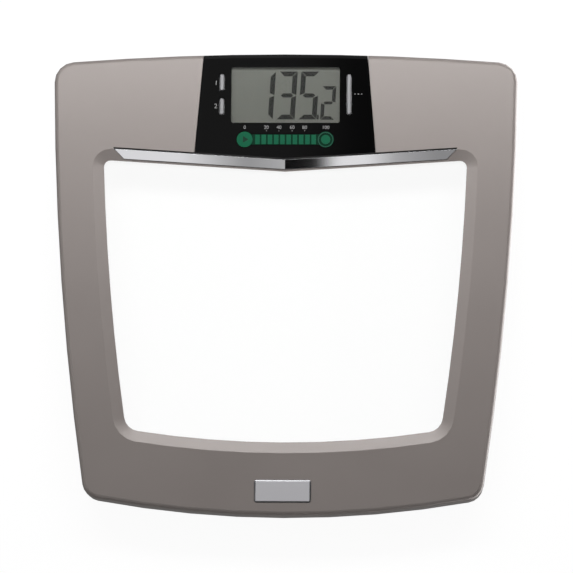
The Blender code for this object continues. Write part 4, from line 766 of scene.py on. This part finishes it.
# %% Metals
plated_steel = finish(
    "switch_steel", (0.50, 0.50, 0.51), (0.60, 0.60, 0.61), 0.3, metallic=1.0, grain=400, bump=0.05
)
cell_steel = finish(
    "cell_steel",
    (0.42, 0.42, 0.43),
    (0.52, 0.52, 0.53),
    0.35,
    metallic=1.0,
    grain=300,
    bump=0.1,
    stretch=(0.05, 1, 1),
)
screw_steel = finish("screw_steel", (0.40, 0.40, 0.42), (0.50, 0.50, 0.52), 0.3, metallic=1.0)
contact_steel = finish(
    "contact_steel", (0.58, 0.57, 0.55), (0.68, 0.67, 0.65), 0.25, metallic=1.0
)
print("finishes so far:", len(bpy.data.materials))

# %% Dress the pieces below and inside
PLACES = ("back_left", "back_right", "front_left", "front_right")
SCREWS = ["housing_screw_%d" % number for number in range(1, 7)]
dress(tray_grey, "base_tray", "battery_door")
dress(cup_grey, *["foot_cup_" + place for place in PLACES])
dress(pad_black, *["foot_pad_" + place for place in PLACES])
dress(white_lead, *["load_cell_lead_" + place for place in PLACES])
dress(red_lead, "battery_lead_left", "battery_lead_right")
dress(gasket_pale, "glass_gasket")
dress(switch_black, "controller_chip", "unit_switch_body", *[key + "_plunger" for key in KEY_SHARES])
dress(slider_grey, "unit_slider")
dress(carrier_white, "lcd_carrier")
dress(zebra_rubber, "zebra_strip_front", "zebra_strip_back")
dress(board_green, "main_board")
dress(plated_steel, *[key + "_switch" for key in KEY_SHARES])
dress(screw_steel, *SCREWS)
dress(contact_steel, *[name for name in nodes if name.startswith("battery_contact")])

# %% [markdown]
# ## Strain plates
# A load cell is a steel plate with a tongue cut free on three sides. The foot lifts the tongue, and
# the plate round it stays clamped. Two stiff halves would tear apart where they meet, so each plate
# is one copy of the CAD one with a cut across the tongue near its root, where it bends: the rest of
# the tongue goes up with the foot.

# %% Bending plates
TONGUE_HALF_WIDTH, TONGUE_HALF_LENGTH, BEND_LENGTH = 0.0045, 0.00525, 0.0018
PLATE_WELD, CLOSE = 0.000001, 0.0001


def strain_plate(place):
    """The plate over one foot, with a tongue that follows the foot's press."""
    node_name = "load_cell_" + place
    low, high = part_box(node_name)
    middle = (low + high) / 2
    root_y = middle.y - TONGUE_HALF_LENGTH
    bend_y = root_y + BEND_LENGTH
    shape = copied_shape(node_name, PLATE_WELD)
    everything = shape.verts[:] + shape.edges[:] + shape.faces[:]
    bmesh.ops.bisect_plane(shape, geom=everything, plane_co=(0, bend_y, 0), plane_no=(0, 1, 0))
    plate = piece_of("strain_plate_" + place, shape, cell_steel)
    start, end = (middle.x, root_y, middle.z), (middle.x, bend_y, middle.z)
    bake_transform(plate, "housing", "foot_" + place, start=start, end=end)
    shares = plate.data.attributes["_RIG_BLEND"].data
    for vertex in plate.data.vertices:
        aside = abs(vertex.co.x - middle.x) > TONGUE_HALF_WIDTH + CLOSE
        beyond = vertex.co.y > middle.y + TONGUE_HALF_LENGTH + CLOSE
        if aside or beyond:
            shares[vertex.index].value = 0
    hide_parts(node_name)
    return plate


plates = [strain_plate(place) for place in PLACES]
print("strain plates:", [len(plate.data.vertices) for plate in plates])

# %% [markdown]
# ## Batteries
# A battery's sleeve changes colour once along its length and has a bare steel rim at each end. A
# picture wrapped round the cell could show that, but a band that depends on the position along the
# cell is enough. Every second cell is turned round, so the band's direction is set per cell.

# %% Battery sleeves
BAND_FROM, RIM_FROM, BATTERIES = 0.78, 0.475, 4
SLEEVE_DARK, SLEEVE_LIGHT = (0.16, 0.24, 0.20), (0.20, 0.29, 0.25)
BAND_COLOUR, RIM_COLOUR = (0.60, 0.58, 0.52), (0.62, 0.62, 0.62)


def battery_finish(name, flipped):
    """A plain sleeve: a narrow band near the raised end, bare metal at both rims."""
    low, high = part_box(name)
    material = finish(name, SLEEVE_DARK, SLEEVE_LIGHT, 0.32, metallic=0.6)
    tree = material.node_tree
    place = tree.nodes.new("ShaderNodeTexCoord")
    parts = tree.nodes.new("ShaderNodeSeparateXYZ")
    link(tree, place.outputs["Object"], parts.inputs[0])
    start, stop = (high.y, low.y) if flipped else (low.y, high.y)
    along = ramp(tree, parts.outputs["Y"], start, stop)
    band = math_node(tree, "GREATER_THAN", along, BAND_FROM)
    from_middle = math_node(tree, "ABSOLUTE", math_node(tree, "SUBTRACT", along, 0.5))
    rim = math_node(tree, "GREATER_THAN", from_middle, RIM_FROM)
    sleeve = tree.nodes["Mix"].outputs["Result"]
    banded = blend_colours(tree, band, sleeve, BAND_COLOUR)
    rimmed = blend_colours(tree, rim, banded, RIM_COLOUR)
    link(tree, rimmed, tree.nodes["Principled BSDF"].inputs["Base Color"])
    return material


for number in range(1, BATTERIES + 1):
    name = "battery_%d" % number
    dress(battery_finish(name, number % 2 == 0), name)

# %% [markdown]
# ## Numerals of the display
# A liquid crystal numeral is a thin dark film on the glass, in up to seven bars with mitred ends. A
# text object would have the wrong letter shapes, so each bar is a flat outline that gets a hair of
# thickness, and the whole numeral leans a little.

# %% Helpers for thin flat pieces
def flat_piece(name, outlines, bottom, top, material, body="housing"):
    """One piece from several flat outlines, each raised from bottom to top."""
    shape = bmesh.new()
    for outline in outlines:
        low = [shape.verts.new((x, y, bottom)) for x, y in outline]
        high = [shape.verts.new((x, y, top)) for x, y in outline]
        shape.faces.new(high)
        shape.faces.new(list(reversed(low)))
        for here in range(len(outline)):
            after = (here + 1) % len(outline)
            shape.faces.new((low[here], low[after], high[after], high[here]))
    bmesh.ops.recalc_face_normals(shape, faces=shape.faces)
    piece = piece_of(name, shape, material)
    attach(piece, body)
    return piece


def rectangle(left, right, front, back):
    """The four corners of a rectangle, as an outline."""
    return [(left, front), (right, front), (right, back), (left, back)]


def circle(x, y, radius, count=48):
    """An outline of points round a centre."""
    turns = [2 * math.pi * step / count for step in range(count)]
    return [(x + radius * math.cos(turn), y + radius * math.sin(turn)) for turn in turns]


# %% Numeral bars
BAR_GAP, LEAN = 0.00022, 0.061


def numeral(lit, left, base, width, height, bar):
    """Outlines of the lit bars of one numeral. Bars are named a to g in the usual order."""
    gap, half, middle = BAR_GAP, bar / 2, height / 2
    w, h, t = width, height, bar
    bars = {
        "a": [(gap, h), (w - gap, h), (w - t - gap, h - t), (t + gap, h - t)],
        "d": [(gap, 0), (t + gap, t), (w - t - gap, t), (w - gap, 0)],
        "b": [(w, h - gap), (w - t, h - t - gap), (w - t, middle + half), (w, middle + gap)],
        "c": [(w, gap), (w, middle - gap), (w - t, middle - half), (w - t, t + gap)],
        "e": [(0, gap), (t, t + gap), (t, middle - half), (0, middle - gap)],
        "f": [(0, h - gap), (0, middle + gap), (t, middle + half), (t, h - t - gap)],
        "g": [
            (half + gap, middle),
            (t + gap, middle - half + gap),
            (w - t - gap, middle - half + gap),
            (w - half - gap, middle),
            (w - t - gap, middle + half - gap),
            (t + gap, middle + half - gap),
        ],
    }
    return [[(left + x + LEAN * y, base + y) for x, y in bars[name]] for name in lit]


# %% Display reading
LARGE, SMALL = (0.1139, 0.01265, 0.0338, 0.0034), (0.1137, 0.0098, 0.0237, 0.0025)
READING = (  # lit bars, left end, then base, width, height and bar width
    ("bc", -0.0214, LARGE),
    ("abcdg", -0.0063, LARGE),
    ("afgcd", 0.0088, LARGE),
    ("abged", 0.0239, SMALL),
)
POINT = [(0.0217, 0.1139), (0.0229, 0.1139), (0.0231, 0.1173), (0.0219, 0.1173)]
INK_UNDER, INK_OVER = 0.00002, 0.00010
ink = finish(
    "lcd_ink", (0.004, 0.004, 0.003), (0.007, 0.007, 0.005), 0.3, bump=0.01, specular=0.15
)
outlines = []
for lit_bars, left, size in READING:
    outlines += numeral(lit_bars, left, *size)
outlines.append(POINT)
lcd_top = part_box("lcd_panel")[1].z
reading = flat_piece("lcd_reading", outlines, lcd_top + INK_UNDER, lcd_top + INK_OVER, ink)
print("display bars:", len(outlines))

# %% [markdown]
# ## The light bar
# Lit segments lie on the dark green moulding: a disc with a play sign where the bar starts, ten
# blocks, and a ring round a disc where it ends. They could be a pattern in the moulding's finish,
# but thin inlays, a little proud of the guide, keep their crisp edges in any view.

# %% Light bar inlays
BAR_Y, BAR_END, DISC_RADIUS, END_RADIUS = 0.0994, 0.0279, 0.0054, 0.0032
BLOCKS_FROM, BLOCKS_TO, BLOCKS, BLOCK_GAP, BLOCK_HALF = -0.0212, 0.0218, 10, 0.0006, 0.0033
INLAY_SUNK, INLAY_PROUD = 0.00005, 0.00012
guide_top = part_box("goal_light_guide")[1].z
inlay_low, inlay_high = guide_top - INLAY_SUNK, guide_top + INLAY_PROUD
lit_green = finish(
    "lit_green", (0.002, 0.112, 0.050), (0.003, 0.140, 0.066), 0.3, drift=300, specular=0.2
)
pitch = (BLOCKS_TO - BLOCKS_FROM) / BLOCKS
outlines = [circle(-BAR_END, BAR_Y, DISC_RADIUS)]
for step in range(BLOCKS):
    left = BLOCKS_FROM + pitch * step + BLOCK_GAP
    right = BLOCKS_FROM + pitch * (step + 1) - BLOCK_GAP
    outlines.append(rectangle(left, right, BAR_Y - BLOCK_HALF, BAR_Y + BLOCK_HALF))
outlines.append(circle(BAR_END, BAR_Y, END_RADIUS))
inlays = flat_piece("goal_segments", outlines, inlay_low, inlay_high, lit_green)
print("inlays:", len(outlines))

# %% Ring round the end of the bar
RING_INSIDE = 0.0047
ring_green = finish(
    "ring_green", (0.012, 0.095, 0.055), (0.018, 0.115, 0.066), 0.3, drift=300, specular=0.2
)
shape = bmesh.new()
loops = []
for radius, z in (
    (DISC_RADIUS, inlay_low),
    (DISC_RADIUS, inlay_high),
    (RING_INSIDE, inlay_high),
    (RING_INSIDE, inlay_low),
):
    loops.append([shape.verts.new((x, y, z)) for x, y in circle(BAR_END, BAR_Y, radius)])
for low, high in zip(loops, loops[1:] + loops[:1]):
    for here in range(len(low)):
        after = (here + 1) % len(low)
        shape.faces.new((low[here], low[after], high[after], high[here]))
bmesh.ops.recalc_face_normals(shape, faces=shape.faces)
ring = piece_of("goal_ring", shape, ring_green)
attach(ring, "housing")
print("ring faces:", len(ring.data.polygons))

# %% Play sign
SIGN_LEFT, SIGN_TIP, SIGN_HALF, SIGN_SUNK, SIGN_PROUD = -0.0291, -0.0252, 0.0024, 0.00002, 0.00005
sign_green = finish(
    "sign_green", (0.006, 0.034, 0.020), (0.008, 0.044, 0.026), 0.35, drift=300, specular=0.2
)
sign = [(SIGN_LEFT, BAR_Y + SIGN_HALF), (SIGN_LEFT, BAR_Y - SIGN_HALF), (SIGN_TIP, BAR_Y)]
sign_low, sign_high = inlay_high - SIGN_SUNK, inlay_high + SIGN_PROUD
start_sign = flat_piece("start_sign", [sign], sign_low, sign_high, sign_green)
print("sign width mm:", round((SIGN_TIP - SIGN_LEFT) * 1000, 1))

# %% [markdown]
# ## Printed marks
# The fascia has small pale printing. Plain numbers stand over the bar like those on a dial, with a
# tick under each of the middle four, a 1 and a 2 stand by the two short keys, and three dots by the
# long one. Blender's text objects give the numbers, and each is turned into a mesh. Printing is a
# few hundredths of a millimetre thick, so it is set just on the surface.

# %% Printed numbers
CAPITALS_SHARE, PRINT_THICKNESS, PRINT_LIFT, CURVE_STEPS = 0.7, 0.00003, 0.00002, 3
fascia_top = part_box("display_fascia")[1].z
print_grey = finish(
    "print_grey", (0.30, 0.30, 0.30), (0.40, 0.40, 0.40), 0.5, drift=900, bump=0.01
)


def printed(name, words, x, y, height):
    """A short printed word as a mesh, centred on x, y and lying on the fascia."""
    curve = bpy.data.curves.new(name, "FONT")
    curve.body = words
    curve.size = height / CAPITALS_SHARE
    curve.extrude = PRINT_THICKNESS
    curve.resolution_u = CURVE_STEPS
    curve.align_x = "CENTER"
    curve.align_y = "CENTER"
    text = add_object(name, curve)
    text.location = (x, y, fascia_top + PRINT_LIFT)
    bpy.context.view_layer.update()
    graph = bpy.context.evaluated_depsgraph_get()
    mesh = bpy.data.meshes.new_from_object(text.evaluated_get(graph))
    mesh.transform(text.matrix_world)
    bpy.data.objects.remove(text, do_unlink=True)
    mesh.materials.clear()
    mesh.materials.append(print_grey)
    piece = add_object(name, mesh)
    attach(piece, "housing")


# %% Numbers on the fascia
LABEL_Y, LABEL_HEIGHT, KEY_LABEL_HEIGHT = 0.1078, 0.0024, 0.0032
BAR_LABELS = (  # number, x
    ("0", -0.0279),
    ("20", -0.0130),
    ("40", -0.0043),
    ("60", 0.0048),
    ("80", 0.0134),
    ("100", 0.0279),
)
KEY_LABELS = (("1", -0.0479, 0.1390), ("2", -0.0481, 0.1227))  # number, x, y
for words, x in BAR_LABELS:
    printed("print_" + words, words, x, LABEL_Y, LABEL_HEIGHT)
for words, x, y in KEY_LABELS:
    printed("print_key_" + words, words, x, y, KEY_LABEL_HEIGHT)
print("printed numbers:", len(BAR_LABELS) + len(KEY_LABELS))

# %% Ticks and dots
TICK_HALF, TICK_FRONT, TICK_BACK = 0.0001, 0.1050, 0.1060
DOTS_X, DOTS_Y, DOT_RADIUS, DOT_POINTS = (0.0480, 0.0503, 0.0526), 0.1314, 0.00042, 16
MARK_THICKNESS = 0.00004
marks = [
    rectangle(x - TICK_HALF, x + TICK_HALF, TICK_FRONT, TICK_BACK) for _, x in BAR_LABELS[1:5]
]
marks += [circle(x, DOTS_Y, DOT_RADIUS, DOT_POINTS) for x in DOTS_X]
mark_piece = flat_piece("print_marks", marks, fascia_top, fascia_top + MARK_THICKNESS, print_grey)
print("ticks and dots:", len(marks))

# %% [markdown]
# ## Screw recesses and ribs underneath
# The screw heads get a black cross, painted shade for the hollow of their recess, the door gets
# finger ribs and an arrow that says which way it comes off, and the slider gets three ribs for a
# fingernail. A bump in the finish would be lost in the exported shape, so all are thin pieces. They
# ride on what they lie on, so they move with the door and the slider.

# %% Screw crosses
CROSS_REACH, CROSS_HALF, HAIR = 0.0013, 0.00028, 0.00004
# Each cross is painted shade: a flat black mark where the recess in the steel head lies in shadow.
recess_shade_black = finish(
    "recess_shade_black", (0.006, 0.006, 0.006), (0.012, 0.012, 0.012), 0.6, grain=900, bump=0.1
)
quarter = [(CROSS_REACH, CROSS_HALF), (CROSS_HALF, CROSS_HALF), (CROSS_HALF, CROSS_REACH)]
half_cross = quarter + [(-x, y) for x, y in reversed(quarter)]
cross = half_cross + [(-x, -y) for x, y in half_cross]
for number, screw in enumerate(SCREWS, 1):
    low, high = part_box(screw)
    centre_x, centre_y = (low.x + high.x) / 2, (low.y + high.y) / 2
    outline = [(centre_x + x, centre_y + y) for x, y in cross]
    name = "screw_cross_%d" % number
    mark = flat_piece(name, [outline], low.z - HAIR, low.z + HAIR, recess_shade_black)
print("crosses:", len(SCREWS))

# %% Door ribs and arrow
RIBS, FIRST_RIB, RIB_PITCH, RIB_HALF, RIB_WIDTH = 5, 0.0075, 0.0016, 0.009, 0.0006
RIB_PROUD, RIB_SUNK, ARROW_Y = 0.0003, 0.0001, 0.024
ARROW = [(-0.003, 0.0), (0.003, 0.0), (0.0, -0.0045)]
door_low, door_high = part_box("battery_door")
middle = (door_low.x + door_high.x) / 2
outlines = []
for step in range(RIBS):
    y = door_low.y + FIRST_RIB + RIB_PITCH * step
    outlines.append(rectangle(middle - RIB_HALF, middle + RIB_HALF, y, y + RIB_WIDTH))
outlines.append([(middle + x, door_low.y + ARROW_Y + y) for x, y in ARROW])
rib_low, rib_high = door_low.z - RIB_PROUD, door_low.z + RIB_SUNK
door_ribs = flat_piece(
    "battery_door_ribs", outlines, rib_low, rib_high, tray_grey, "battery_door"
)
print("door ribs:", RIBS)

# %% Slider ribs
NAIL_PITCH, NAIL_HALF, NAIL_REACH, NAIL_PROUD, NAIL_SUNK = 0.0009, 0.0002, 0.0010, 0.0002, 0.0001
slider_low, slider_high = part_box("unit_slider")
middle = (slider_low.x + slider_high.x) / 2
y = (slider_low.y + slider_high.y) / 2
outlines = []
for step in (-1, 0, 1):
    x = middle + NAIL_PITCH * step
    outlines.append(rectangle(x - NAIL_HALF, x + NAIL_HALF, y - NAIL_REACH, y + NAIL_REACH))
rib_low, rib_high = slider_low.z - NAIL_PROUD, slider_low.z + NAIL_SUNK
slider_ribs = flat_piece(
    "unit_slider_ribs", outlines, rib_low, rib_high, slider_grey, "unit_slider"
)
print("slider ribs:", len(outlines))

# %% [markdown]
# ## Sizes
# The box round everything the scene shows, the floor aside, is measured. The looks must stay
# inside the CAD model's box.

low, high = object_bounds()
